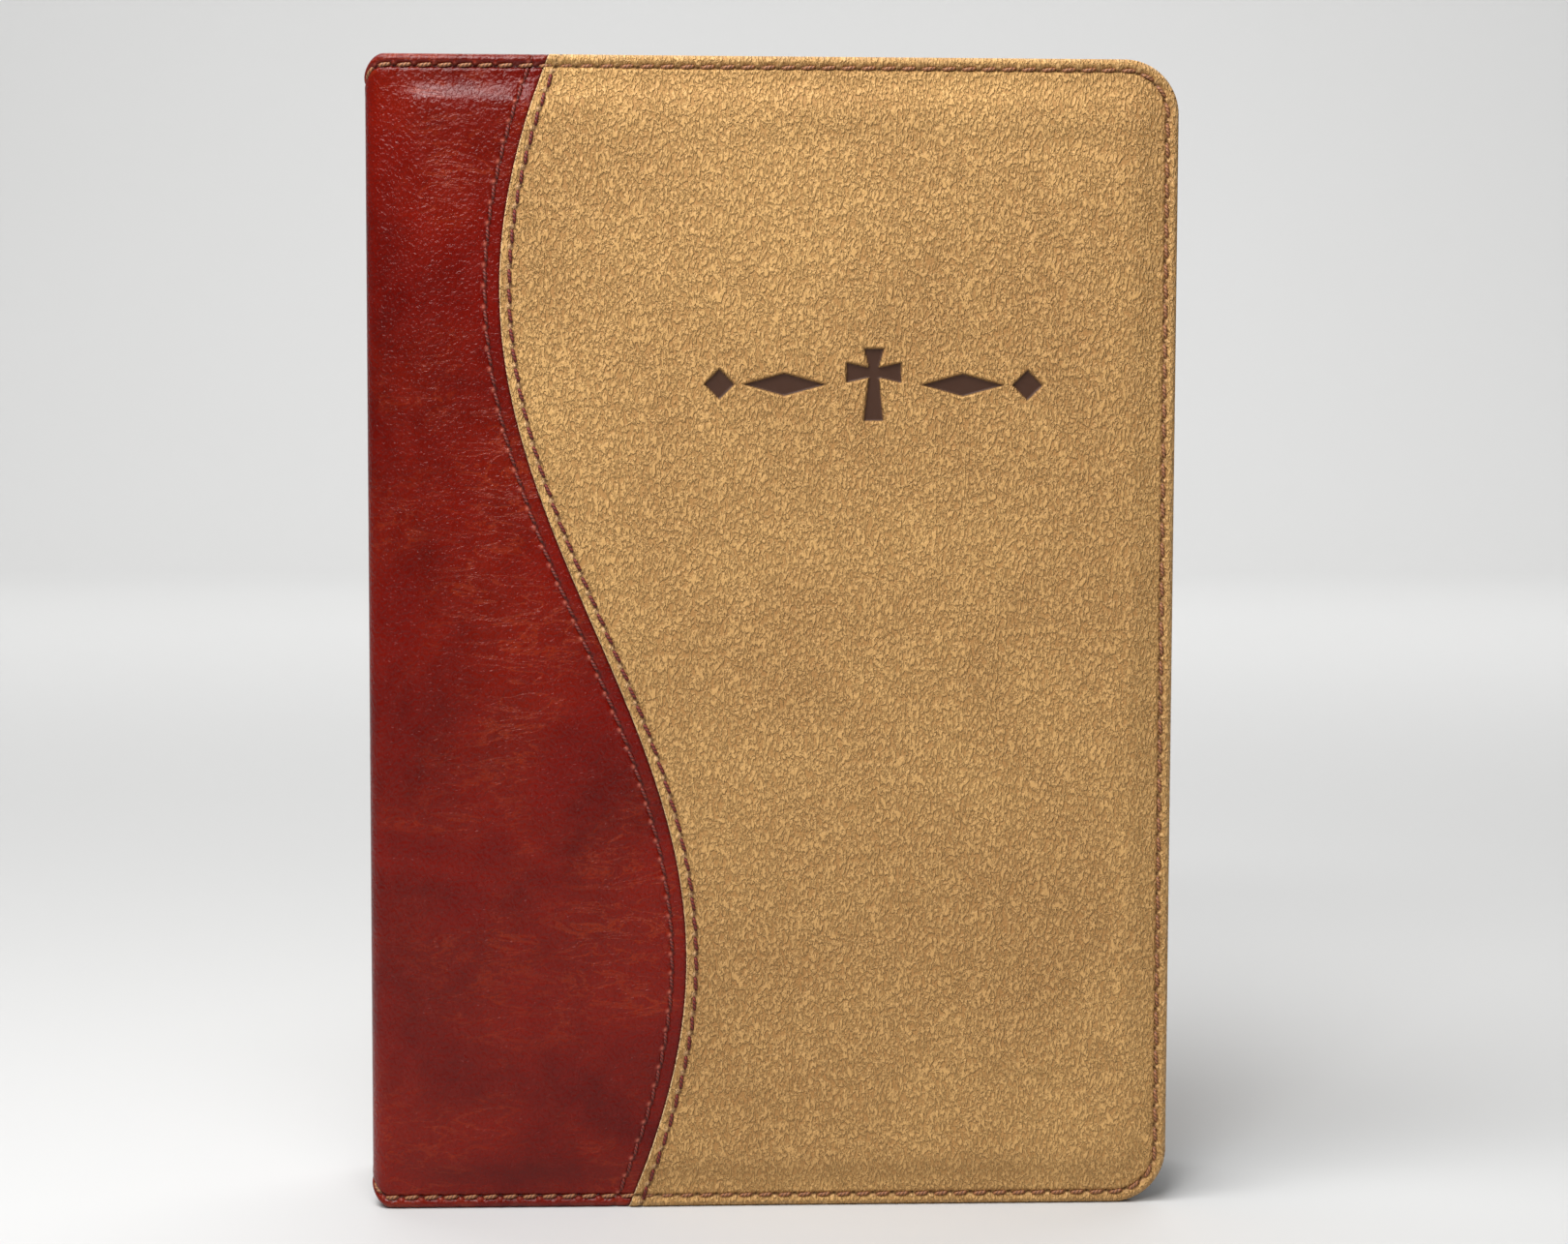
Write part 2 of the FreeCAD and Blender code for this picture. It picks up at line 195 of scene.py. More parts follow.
def waves(x, z):
    """Very shallow unevenness of a hand-laid cover: a few long sines added up."""
    return (
        0.07 * np.sin(x / 17.0 + 0.6) * np.sin(z / 23.0 + 0.3)
        + 0.05 * np.sin(x / 9.0 - z / 14.0)
        + 0.035 * np.sin(x / 6.3 + z / 31.0 + 1.1)
    )


def puff(x, z):
    """Rise of the foam pad: eased up from the stitching, more slowly at head and tail."""
    inset = inset_of(x, z)
    up = np.minimum(z - z_tail, z_head - z)
    from_hinge = ease((x - x_hinge + 1.0) / 7.0)
    pad = ease((inset - 2.3) / 6.0) * ease((up - 0.6) / 10.0) * from_hinge
    crease = bump(z - (z_head - crease_below_head) - 0.8 * np.sin(x / 15.0), 2.2)
    crease = crease * ease((x + 18.0) / 24.0) * ease((x_fore - 6.0 - x) / 12.0)
    dent = np.exp(-((x - 54.0) / 5.0) ** 2 - ((z - 185.5) / 2.0) ** 2)
    return pad * (pad_rise + waves(x, z)) - crease_depth * crease - dent_depth * dent


def needle_row(away, run, depth, width):
    """A sunk line of stitches: a groove under each thread, and between two threads a needle hole
    on the inner side and a knot of raised leather on the other. Gives the change in height, a
    mask of painted shade in the groove and the hole, and the knot's mask, which also marks a
    painted highlight on the knot."""
    phase = run / pitch
    between = bump(np.abs(phase - np.round(phase)) * pitch, 0.36)
    groove = bump(away, width)
    hole = between * bump(away - 0.24, 0.26)
    knot = between * bump(away + 0.26, 0.26)
    pucker = bump(np.abs(away) - 2.0 * width, 1.2 * width) * np.cos(2 * np.pi * phase)
    rise = -depth * groove * (1 - 0.6 * between) + 0.1 * depth * pucker
    rise += depth * (0.5 * knot - 0.9 * hole)
    # the second value is painted shade in groove and hole; the third is the knots, also painted with
    # a highlight
    return rise, np.clip(0.4 * groove ** 2 + 0.95 * hole - 0.6 * knot, 0, 1), knot


def edge_relief(inset, run):
    """Turned edge: a narrow bead outside the stitched groove."""
    rise, shade, knot = needle_row(inset - stitch_inset, run, *edge_groove)
    bead = 0.12 * bump(inset - 0.95, 0.55)
    return rise + bead - 0.2, shade, 0.35 * knot


def stitched_relief(x, z, inset, run, row, groove):
    """What both leathers share: bead, pad and the stitches of the row beside the seam, with their
    painted shade and the painted highlight on their knots.
    """
    edge, edge_shade, edge_knot_and_glint = edge_relief(inset, run)
    away, along = beside_seam(x, z)
    seam, seam_shade, seam_knot_and_glint = needle_row(away - row, along, *groove)
    rise = edge + puff(x, z) + seam
    return away, rise, np.maximum(edge_shade, seam_shade), np.maximum(edge_knot_and_glint, seam_knot_and_glint)


def tan_relief(*spot):
    """Height, painted shade and knots with their painted highlight, of the tan leather over the
    cover's plane: it laps over the red.
    """
    away, rise, shade, knot = stitched_relief(*spot, tan_row, tan_groove)
    return rise + lap_rise * np.exp(-np.maximum(away, 0) / lap_reach), shade, knot


def red_relief(*spot):
    """The same of the red leather, which is sunk under the lap, with a painted shadow of the lap
    along the tan leather's edge and under it.
    """
    away, rise, shade, knot = stitched_relief(*spot, red_row, red_groove)
    # painted shadow cast by the tan leather's lap on the red
    gutter_shade = 0.9 * ease((away + 0.55) / 0.6)
    return rise - lap_sink * ease((away + 0.4) / 1.2), np.maximum(shade, gutter_shade), knot


# The turned edge of a leather: a fine part from 3.5 mm inside over the rim to its inner side,
# and a coarser part further in. Each point has an inset and a drop below the relief, or a set
# depth where the leather goes round the board.
rim_depth = abs(y_front) - abs(y_board_back)
rim_width = 1.6
leather = 0.9


def edge_profile():
    """Insets, drops and set depths along the turned edge: a flat, a quarter ellipse, a wall, the
    rim's foot and its inner side up to the leather's own underside."""
    flat = np.array([
        3.5, 3.1, 2.8, 2.6, 2.42, 2.26, 2.12, 2.0, 1.88, 1.74, rim_width, rim_width - 0.001,
        1.4, 1.2,
    ])
    angles = np.linspace(0.0, math.pi / 2, 7)
    roll_inset = 1.0 * (1 - np.sin(angles))
    roll_drop = 1.1 * (1 - np.cos(angles))
    insets = np.concatenate([flat, roll_inset, [0.0, 0.0, 0.25, 0.9, rim_width, rim_width]])
    drops = np.concatenate([0 * flat, roll_drop, [1.6, rim_depth - 0.6, 0, 0, 0, 0]])
    depth = np.full(len(insets), np.nan)
    depth[-4:] = [-rim_depth + 0.08, -rim_depth, -rim_depth, -leather]
    return insets, drops, depth


edge_inset, edge_fall, edge_depth = edge_profile()
inner_inset = np.linspace(fore_round, 3.9, 41)


def settle(rise, drop, depth):
    """Height after the edge's drop, or the set depth on the rim."""
    return np.where(np.isnan(depth), rise - drop, depth)


# ---------------------------------------------------------------- meshes

def grid(x, y, z):
    """Points of a grid from coordinates that stretch to one shape."""
    return np.stack(np.broadcast_arrays(x, y, z), -1)


def rounded_drop(x, centre, radius):
    """How far a round corner has fallen at x: a quarter circle past its centre."""
    reach = np.maximum(x - centre, 0)
    return radius - np.sqrt(np.maximum(radius ** 2 - reach ** 2, 0))


def thicken(piece, thickness, offset):
    """Gives an open sheet its thickness in metres."""
    wall = piece.modifiers.new("thickness", "SOLIDIFY")
    wall.thickness = thickness
    wall.offset = offset
    return piece


def quads(rows, columns, wrap=False):
    """Corner numbers of every cell of a grid; with wrap its last column joins its first."""
    index = np.arange(rows * columns).reshape(rows, columns)
    if wrap:
        index = np.concatenate([index, index[:, :1]], 1)
    corners = [index[:-1, :-1], index[1:, :-1], index[1:, 1:], index[:-1, 1:]]
    return np.stack(corners, -1).reshape(-1, 4)


class Sheet:
    """Points laid out as a grid, or as a line, with values that belong to each of them."""

    def __init__(self, points, **fields):
        self.points = points
        self.fields = {k: np.broadcast_to(v, points.shape[:-1]) for k, v in fields.items()}

    def __getitem__(self, where):
        return Sheet(self.points[where], **{k: v[where] for k, v in self.fields.items()})

    def flat(self):
        return Sheet(self.points.reshape(-1, 3), **{k: v.ravel() for k, v in self.fields.items()})


def joined(*pieces):
    """Sheets or lines laid end to end; a value that one of them lacks is nought there."""
    keys = sorted(set().union(*(piece.fields for piece in pieces)))
    return Sheet(np.concatenate([piece.points for piece in pieces]), **{
        key: np.concatenate([
            piece.fields.get(key, np.zeros(piece.points.shape[:-1])) for piece in pieces
        ])
        for key in keys
    })


def patch_of(sheet, wrap=False, keep=None):
    """A sheet's points and faces; keep masks the cells that stay."""
    faces = quads(*sheet.points.shape[:2], wrap)
    if keep is not None:
        faces = faces[keep.ravel()]
    return sheet.flat(), list(faces)


def closed_sections(rings, **fields):
    """A closed body from a row of rings, with its two end rings filled."""
    rows, count = rings.shape[:2]
    body, faces = patch_of(Sheet(rings, **fields), wrap=True)
    return body, [*faces, np.arange(count), (rows - 1) * count + np.arange(count)[::-1]]


def fan(coarse, fine, ratios):
    """Cells between a coarse line and a finer one beside it: each polygon takes two neighbours
    of the coarse line and the finer points between them, as many as the ratio says."""
    marks = np.concatenate([[0], np.cumsum(ratios)]) + len(coarse.points)
    faces = [
        np.concatenate([[i], np.arange(marks[i], marks[i + 1] + 1), [i + 1]])
        for i in range(len(ratios))
    ]
    return joined(coarse, fine), faces


def finer(values, ratio):
    """The same values with even steps put between neighbours, along the last axis."""
    count = values.shape[-1]
    steps = np.arange((count - 1) * ratio + 1) / ratio
    low = np.minimum(steps.astype(int), count - 2)
    share = steps - low
    return values[..., low] * (1 - share) + values[..., low + 1] * share


weld = 2e-6


def build_mesh(name, patches, mirror=False, closed=True, place=None):
    """One mesh from several patches: points in millimetres, welded where they meet, smooth."""
    whole = joined(*(sheet for sheet, _ in patches))
    points, offset, faces = whole.points, 0, []
    for sheet, own in patches:
        faces.extend(np.asarray(face) + offset for face in own)
        offset += len(sheet.points)
    if mirror:
        points = points * np.array([1.0, -1.0, 1.0])
    rest = points if place is None else place(points)
    sizes = np.array([len(face) for face in faces])
    loops = np.concatenate(faces)
    if mirror:
        loops = np.concatenate([face[::-1] for face in faces])
    mesh = bpy.data.meshes.new(name)
    mesh.vertices.add(len(points))
    mesh.vertices.foreach_set("co", (0.001 * points).astype(np.float32).ravel())
    mesh.loops.add(len(loops))
    mesh.loops.foreach_set("vertex_index", loops.astype(np.int32))
    mesh.polygons.add(len(sizes))
    mesh.polygons.foreach_set("loop_start", (np.cumsum(sizes) - sizes).astype(np.int32))
    mesh.update(calc_edges=True)
    for key, values in whole.fields.items():
        layer = mesh.attributes.new(key, "FLOAT", "POINT")
        layer.data.foreach_set("value", values.astype(np.float32))
    layer = mesh.attributes.new("place", "FLOAT_VECTOR", "POINT")
    layer.data.foreach_set("vector", (0.001 * rest).astype(np.float32).ravel())
    work = bmesh.new()
    work.from_mesh(mesh)
    bmesh.ops.remove_doubles(work, verts=work.verts, dist=weld)
    bmesh.ops.dissolve_degenerate(work, edges=work.edges, dist=0.1 * weld)
    if closed:
        bmesh.ops.recalc_face_normals(work, faces=work.faces)
    for edge in work.edges:
        edge.smooth = not edge.is_boundary
    work.to_mesh(mesh)
    work.free()
    mesh.polygons.foreach_set("use_smooth", np.ones(len(mesh.polygons), bool))
    mesh.update()
    piece = bpy.data.objects.new(name, mesh)
    bpy.context.scene.collection.objects.link(piece)
    return piece


def tubes(paths, radii, sides, aside):
    """Round tubes, one for each path of a (count, steps, 3) array, as one patch with closed ends.
    Each ring stands square to the path, and its first point lies towards the aside direction."""
    count, steps = paths.shape[:2]
    ahead = np.gradient(paths, axis=1)
    ahead /= np.linalg.norm(ahead, axis=2, keepdims=True)
    second = np.cross(ahead, aside)
    second /= np.linalg.norm(second, axis=2, keepdims=True)
    first = np.cross(second, ahead)
    turn = np.linspace(0, 2 * np.pi, sides, endpoint=False)
    radii = np.broadcast_to(radii, (count, steps))[..., None, None]
    cosine, sine = np.cos(turn)[:, None], np.sin(turn)[:, None]
    ring = first[:, :, None] * cosine + second[:, :, None] * sine
    points = paths[:, :, None] + radii * ring
    one = quads(steps, sides, wrap=True)[:, ::-1]
    starts = np.arange(count)[:, None, None] * steps * sides
    faces = list((one[None] + starts).reshape(-1, 4))
    base = np.arange(sides)
    for start in starts.ravel():
        faces += [start + base, start + (steps - 1) * sides + base[::-1]]
    sheet = Sheet(
        points, along=np.linspace(0, 1, steps)[:, None], turn_cosine=cosine[:, 0],
        turn_sine=sine[:, 0],
    )
    return sheet.flat(), faces


# ---------------------------------------------------------------- path round the case

spine_flat = abs(y_front) - spine_round
spine_arc = spine_round * math.pi / 2


def skin_base(run):
    """Point and outward direction on the outer skin, at a run from the spine's middle:
    a flat, a quarter circle, then the plane of the front cover."""
    angle = np.clip((run - spine_flat) / spine_round, 0, math.pi / 2)
    on_flat = np.minimum(run, spine_flat)
    beyond = np.maximum(run - spine_flat - spine_arc, 0)
    x = x_spine + spine_round * (1 - np.cos(angle)) + beyond
    y = -on_flat - spine_round * np.sin(angle)
    return x, y, -np.cos(angle), -np.sin(angle)


skin_start = spine_flat + spine_arc - spine_round - x_spine


def run_of(x):
    """Run from the spine's middle to a point on the flat of the front cover."""
    return x + skin_start


def edge_drop(x):
    """How far the head edge falls at the spine's round corner: a quarter circle."""
    return rounded_drop(np.minimum(x_spine - x, 0), -spine_corner, spine_corner)


x_turn = x_fore - fore_round
head_run = run_of(x_turn)
stitch_arc = (fore_round - stitch_inset) * math.pi / 2
fore_run = height - 2 * fore_round
edge_length = 2 * head_run + 2 * stitch_arc + fore_run
stitch_count = int(round(edge_length / pitch))
edge_pitch = edge_length / stitch_count


def edge_phase(run):
    """Run along the case's edge, scaled so that a whole number of stitches goes round."""
    return run * pitch / edge_pitch


def edge_path(run, inset):
    """Point at an inset from the case's edge: along the head, round the corner, down the
    fore-edge, round the corner and back along the tail. Gives x, y, z and the outward way."""
    run = np.asarray(run, float)
    second = head_run + stitch_arc
    third = second + fore_run
    fourth = third + stitch_arc
    x0, y0, nx, ny = skin_base(np.where(run < head_run, run, edge_length - run))
    on_head = run < head_run
    on_tail = run > fourth
    straight = on_head | on_tail
    drop = edge_drop(x0) + inset
    radius = fore_round - inset
    first_turn = np.clip((run - head_run) / stitch_arc, 0, 1) * math.pi / 2
    last_turn = np.clip((run - third) / stitch_arc, 0, 1) * math.pi / 2
    x = np.select(
        [straight, run <= third],
        [x0, x_turn + radius * np.sin(first_turn)],
        x_turn + radius * np.cos(last_turn),
    )
    z = np.select(
        [on_head, on_tail, run > third, run > second],
        [z_head - drop, z_tail + drop, z_tail + fore_round - radius * np.sin(last_turn),
         z_head - fore_round - (run - second)],
        z_head - fore_round + radius * np.cos(first_turn),
    )
    y = np.where(straight, y0, y_front)
    nx = np.where(straight, nx, 0.0)
    ny = np.where(straight, ny, -1.0)
    return x, y, z, nx, ny


# ---------------------------------------------------------------- leather pieces

close_tan = np.array([
    0, 0, 0, 0.07, 0.22, 0.5, 0.85, 1.15, 1.35, 1.55, 1.7, 1.85, 2.05, 2.3, 2.7, 3.2, 3.9, 4.8,
])
lip_drop = np.concatenate([[0, 0.5, 0.2, 0.06, 0.01], np.zeros(13)])
close_red = np.array([
    -5.2, -4.4, -3.8, -3.35, -3.05, -2.85, -2.67, -2.5, -2.33, -2.15, -1.9, -1.5, -1.05, -0.6,
    -0.3, -0.05, 0.25,
])
along_ratio = 4
corner_steps = 8
coarse_levels = np.linspace(z_tail + fore_round, z_head - fore_round, 182)
fine_levels = finer(coarse_levels, along_ratio)


def tan_x(z, shares):
    """x at levels z: the close columns beside the seam, then shares of the way to the corner."""
    start = seam_x(z)[..., None] + close_tan * np.hypot(1, seam_lean(z))[..., None]
    rest = start[..., -1:] + (x_turn - start[..., -1:]) * shares
    return np.concatenate([start, rest], -1)


def tan_sheet(x, z, inset, run, fall, depth):
    """Points of the tan leather: its relief, less the fall, or the depth that is set."""
    rise, shade, knot = tan_relief(x, z, inset, run)
    rise = settle(rise, fall, depth)
    points = grid(x, y_front - rise, z)
    raw = np.clip(1 - beside_seam(x, z)[0] / 0.2, 0, 1)
    rim = np.clip(1 - inset / 1.3, 0, 1)
    return Sheet(points, shade=shade, knot=knot, rim=rim, raw=raw)


def edge_strip(insets, falls, depths, shares, ratio):
    """A band of the tan leather along the head, round the corner, down the fore-edge and back
    along the tail: each point of the edge's profile is carried along that path."""
    head_x = tan_x(z_head - insets, shares).T
    tail_x = tan_x(z_tail + insets, shares).T[::-1]
    turn = np.linspace(0, math.pi / 2, corner_steps * ratio + 1)[1:-1, None]
    turn_x = x_turn + (fore_round - insets) * np.sin(turn)
    turn_z = z_head - fore_round + (fore_round - insets) * np.cos(turn)
    turn_run = stitch_arc * turn / (math.pi / 2)
    level = finer(coarse_levels, ratio)[::-1, None]
    first = head_run + stitch_arc
    stretches = (
        (head_x, z_head - insets, run_of(head_x)),
        (turn_x, turn_z, head_run + turn_run),
        (x_fore - insets, level, first + z_head - fore_round - level),
        (turn_x[::-1], z_tail + z_head - turn_z[::-1], first + fore_run + turn_run),
        (tail_x, z_tail + insets, edge_length - run_of(tail_x)),
    )
    x, z, run = map(np.concatenate, zip(*(np.broadcast_arrays(*each) for each in stretches)))
    inset = np.broadcast_to(insets, x.shape)
    middle = np.zeros(len(x) - 2 * len(head_x))
    beside = np.concatenate([lip_drop, np.zeros(len(shares))])
    fall = np.concatenate([beside, middle, beside[::-1]])[:, None] + falls
    depth = np.array(np.broadcast_to(depths, x.shape))
    foot = np.where(insets < rim_width, -rim_depth, -leather)
    depth[[0, -1]] = np.where(np.isnan(depths), foot, depths)
    return tan_sheet(x, z, inset, edge_phase(run), fall, depth)


def tan_panel(name, mirror):
    """Tan leather of one cover: bands along its edges, a finely stepped band beside the seam, a
    coarser middle and a flat underside, joined by fans. Only the front one is stamped."""
    shares = np.linspace(0, 1, 81)
    near = len(close_tan)
    rim = edge_strip(edge_inset, edge_fall, edge_depth, finer(shares, along_ratio)[1:], along_ratio)
    nothing = np.zeros(len(inner_inset))
    band = edge_strip(inner_inset, nothing, nothing + np.nan, shares[1:], 1)
    segments = len(band.points) - 1 - 2 * (near - 1)
    ratios = [1] * (near - 1) + [along_ratio] * segments + [1] * (near - 1)

    def inside(levels, start, stop):
        x = tan_x(levels, shares[1:])[:, start:stop]
        z = np.broadcast_to(levels[:, None], x.shape)
        fall = np.concatenate([lip_drop, np.zeros(len(shares) - 1)])[start:stop]
        depth = np.full(x.shape, np.nan)
        if start == 0:
            depth[:, 0] = -leather
        return tan_sheet(x, z, inset_of(x, z), 0 * x, fall, depth)

    beside = inside(fine_levels, 0, near)
    middle = inside(coarse_levels, near, None)
    patches = [
        patch_of(rim), patch_of(band), patch_of(beside),
        fan(band[:, -1], rim[:, 0], ratios),
        fan(middle[:, 0], beside[:, -1], [along_ratio] * (len(coarse_levels) - 1)),
    ]
    patches.extend([patch_of(middle)] if mirror else stamped_window(middle))

    # the flat underside: the rim's last line, then the foot of the cut edge back to its start
    inner = int(np.argmin(np.abs(edge_inset - rim_width)))
    loop = joined(
        rim[:, -1], rim[-1, inner - 1::-1], band[-1, ::-1], beside[1:-1, 0], band[0],
        rim[0, :inner],
    )
    patches.append((loop, [np.arange(len(loop.points))]))
    return build_mesh(name, patches, mirror=mirror)


def polygon_distance(x, z, corners):
    """Signed distance to a polygon, negative inside: nearest edge, with the sign from crossings."""
    corners = np.array(corners, float)
    nearest = np.full(x.shape, 1e9)
    inside = np.zeros(x.shape, bool)
    for a, b in zip(corners, np.roll(corners, -1, 0)):
        way = b - a
        share = np.clip(((x - a[0]) * way[0] + (z - a[1]) * way[1]) / (way @ way), 0, 1)
        nearest = np.minimum(nearest, np.hypot(x - a[0] - share * way[0], z - a[1] - share * way[1]))
        if a[1] != b[1]:
            crosses = (a[1] > z) != (b[1] > z)
            inside ^= crosses & (x < a[0] + (z - a[1]) * way[0] / way[1])
    return np.where(inside, -nearest, nearest)


def stamp_distance(x, z):
    """Signed distance to the ornament: a flared cross, two tapered bars and two lozenges."""
    x = x - stamp_x
    z = z - stamp_z
    waist, flare, arm, up, down = 0.95, 1.8, 4.8, 4.17, 8.33
    cross = [
        (-waist, waist), (-flare, up), (flare, up), (waist, waist), (arm, flare), (arm, -flare),
        (waist, -waist), (flare, -down), (-flare, -down), (-waist, -waist), (-arm, -flare),
        (-arm, flare),
    ]
    nearest = polygon_distance(x, z - 2.08, cross)
    for half_length, half_width, middle in ((7.3, 2.0, 15.4), (2.7, 2.7, 26.6)):
        bar = [(-half_length, 0), (0, -half_width), (half_length, 0), (0, half_width)]
        nearest = np.minimum(nearest, polygon_distance(np.abs(x) - middle, z, bar))
    return nearest


def stamped_window(sheet):
    """The middle of the panel with a finer window round the ornament, which is pressed in there;
    fans join the window to the cells round it."""
    ratio = 5
    x, z = sheet.points[..., 0], sheet.points[..., 2]
    reach = (np.abs(z - stamp_z) < 7.6) & (np.abs(x - stamp_x) < stamp_half_length + 1.6)
    rows, columns = np.where(reach.any(1))[0], np.where(reach.any(0))[0]
    r0, r1, c0, c1 = rows[0], rows[-1], columns[0], columns[-1]
    keep = np.ones((x.shape[0] - 1, x.shape[1] - 1), bool)
    keep[r0 - 1:r1 + 1, c0 - 1:c1 + 1] = False

    def refine(values):
        block = values[r0:r1 + 1, c0:c1 + 1]
        return finer(np.swapaxes(finer(np.swapaxes(block, 0, 1), ratio), 0, 1), ratio)

    points = np.stack([refine(sheet.points[..., axis]) for axis in range(3)], -1)
    fields = {key: refine(value) for key, value in sheet.fields.items()}
    gap = stamp_distance(points[..., 0], points[..., 2])
    points[..., 1] += stamp_depth * ease((0.14 - gap) / 0.34) - stamp_ring * bump(gap - 0.38, 0.24)
    window = Sheet(points, stamp=np.clip(0.5 - gap / 0.2, 0, 1), **fields)

    across, up = [ratio] * (c1 - c0), [ratio] * (r1 - r0)
    patches = [
        patch_of(sheet, keep=keep), patch_of(window),
        fan(sheet[r0 - 1, c0:c1 + 1], window[0], across),
        fan(sheet[r1 + 1, c0:c1 + 1], window[-1], across),
        fan(sheet[r0:r1 + 1, c0 - 1], window[:, 0], up),
        fan(sheet[r0:r1 + 1, c1 + 1], window[:, -1], up),
    ]
    for r in (r0 - 1, r1):
        for c in (c0 - 1, c1):
            patches.append(patch_of(sheet[r:r + 2, c:c + 2]))
    return patches


spine_marks = np.concatenate([
    np.linspace(0, spine_flat, 9), spine_flat + np.linspace(0, spine_arc, 9)[1:],
])
cover_marks = np.linspace(0, 1, 42)[1:-1]


def red_sheet(level, inset, fall, depth, ratio=1):
    """Points of the red leather at given levels: columns from the spine's middle round its corner
    to the seam, closer together beside it. The ratio splits the wide columns."""
    corner_end = spine_flat + spine_arc
    near = close_red * np.hypot(1, seam_lean(level))[:, None]
    start = run_of(seam_x(level))[:, None]
    first = start + near[:, :1]
    wide = np.concatenate([
        np.broadcast_to(spine_marks, (len(level), len(spine_marks))),
        corner_end + (first - corner_end) * cover_marks, first,
    ], 1)
    run = np.concatenate([finer(wide, ratio), (start + near)[:, 1:]], 1)
    x, y, nx, ny = skin_base(run)
    up = np.clip((level - z_tail - fore_round) / (height - 2 * fore_round), 0, 1)[:, None]
    z = level[:, None] + edge_drop(x) * (1 - 2 * up)
    inset = np.broadcast_to(inset[:, None], x.shape)
    at_head = level[:, None] > 0.5 * (z_head + z_tail)
    phase = edge_phase(np.where(at_head, run, edge_length - run))
    rise, shade, knot = red_relief(x, z, inset, phase)
    rise = settle(rise, fall[:, None], depth[:, None])
    rise = rise * np.where(rise < 0, 1 + 0.28 * nx, 1)
    points = grid(x + nx * rise, y + ny * rise, z)
    return Sheet(points, shade=shade, knot=knot, rim=np.clip(1 - inset / 1.3, 0, 1))


def unrolled(points):
    """Rest place on the flat sheet: the run round the spine, nought across, and the level."""
    side = np.abs(points[:, 1])
    u = points[:, 0] - x_spine - (abs(y_front) - side)
    u = np.where(points[:, 1] > 0, -2 * abs(y_front) - u, u)
    return grid(u + x_spine, 0, points[:, 2])


def red_skin(name, mirror):
    """Red leather from the middle of the spine, round its corner and over the cover to the tan
    leather's edge, with its edges turned in at head and tail; its wall is its thickness."""
    wide_count = len(spine_marks) + len(cover_marks)
    side_inset = inner_inset[::-1]
    tail, head = z_tail + side_inset, z_head - inner_inset
    levels = np.concatenate([tail[:-1], coarse_levels, head[1:]])

    def field(level):
        inset = np.minimum(level - z_tail, z_head - level)
        return red_sheet(level, inset, 0 * level, np.nan * level)

    middle = field(levels)[:, :wide_count]
    beside = field(finer(levels, along_ratio))[:, wide_count:]
    patches = [
        patch_of(middle), patch_of(beside),
        fan(middle[:, -1], beside[:, 0], [along_ratio] * (len(levels) - 1)),
    ]
    for base, way, row in ((z_tail, 1, 0), (z_head, -1, -1)):
        inset, fall, depth = edge_inset[:-1], edge_fall[:-1], edge_depth[:-1]
        rim = red_sheet(base + way * inset, inset, fall, depth, along_ratio)
        patches.append(patch_of(rim))
        patches.append(fan(
            joined(middle[row], beside[row]), rim[0],
            [along_ratio] * wide_count + [1] * (len(close_red) - 1),
        ))
    piece = build_mesh(name, patches, mirror=mirror, place=unrolled)
    return thicken(piece, 0.0007, -1.0)


# ---------------------------------------------------------------- stitching

thread_radius = 0.34
bridge_length = 0.8
slant = 0.16


def threads(name, paths, outward, mirror):
    """Short twisted threads, one for each path, thinner where they dive into the leather."""
    radii = thread_radius * (1 - 0.4 * np.linspace(-1, 1, paths.shape[1]) ** 4)
    return build_mesh(name, [tubes(paths, radii, 6, outward)], mirror=mirror)


def stitch_runs(middle, spacing):
    """Runs along each stitch, which spans its spacing less a bridge, and the share from its
    middle to its ends."""
    share = np.linspace(-1, 1, 7)
    return middle[:, None] + 0.5 * (spacing - bridge_length) * share, share


def dive(share, lift, depth):
    """Height of a thread: level in its middle, falling steeply into the holes at its ends."""
    return lift - depth * np.abs(share) ** 5


def edge_threads(name, mirror):
    """Stitches round the case's edge, a little aslant."""
    run, share = stitch_runs((np.arange(stitch_count) + 0.5) * edge_pitch, edge_pitch)
    x, y, z, nx, ny = edge_path(run, stitch_inset - slant * share)
    rise = dive(share, -0.36, 0.75)
    return threads(name, grid(x + nx * rise, y + ny * rise, z), grid(nx, ny, 0), mirror)


def seam_threads(name, away, relief_of, lift, mirror):
    """Stitches beside the seam, laid in their own groove in the leather's relief."""
    first, last = np.interp([z_tail + 1.0, z_head - 1.0], seam_levels, seam_run) / pitch
    run, share = stitch_runs((np.arange(math.ceil(first), math.floor(last)) + 0.5) * pitch, pitch)
    x, z = seam_place(run, away - slant * share)
    inset = inset_of(x, z)
    rise = relief_of(x, z, inset, 0 * inset)[0] + dive(share, lift, 0.7)
    paths = grid(x, y_front - rise, z)
    return threads(name, paths, np.broadcast_to([0.0, -1.0, 0.0], paths.shape), mirror)


# ---------------------------------------------------------------- zip

x_zip = tape_low[0]
loop_steps, loop_height, loop_width, nylon_radius = 8, 1.35, 0.36, 0.24
wall_side, wall_end = 1.7, 4.4
tape_thickness = 0.6
coil_pitch = 1.5


def zip_outline(side, end):
    """Rounded path at insets from the fore-edge and from head and tail: along the head from the
    spine end, a quarter circle, down the fore-edge, a quarter circle and back along the tail."""
    side = np.asarray(side, float)[..., None]
    end = np.asarray(end, float)[..., None]
    radius = fore_round - side
    turn = np.linspace(0, math.pi / 2, 18)
    head = np.linspace(x_zip, x_turn, 100)[:-1] + 0 * side
    down = np.linspace(0, 1, 160)[1:-1]
    top = z_head - end - radius
    low = z_tail + end + radius
    x = np.concatenate([
        head, x_turn + radius * np.sin(turn), x_fore - side + 0 * down,
        x_turn + radius * np.cos(turn), head[..., ::-1],
    ], -1)
    z = np.concatenate([
        top + radius + 0 * head, top + radius * np.cos(turn), top + (low - top) * down,
        low - radius * np.sin(turn), low - radius + 0 * head,
    ], -1)
    return x, z


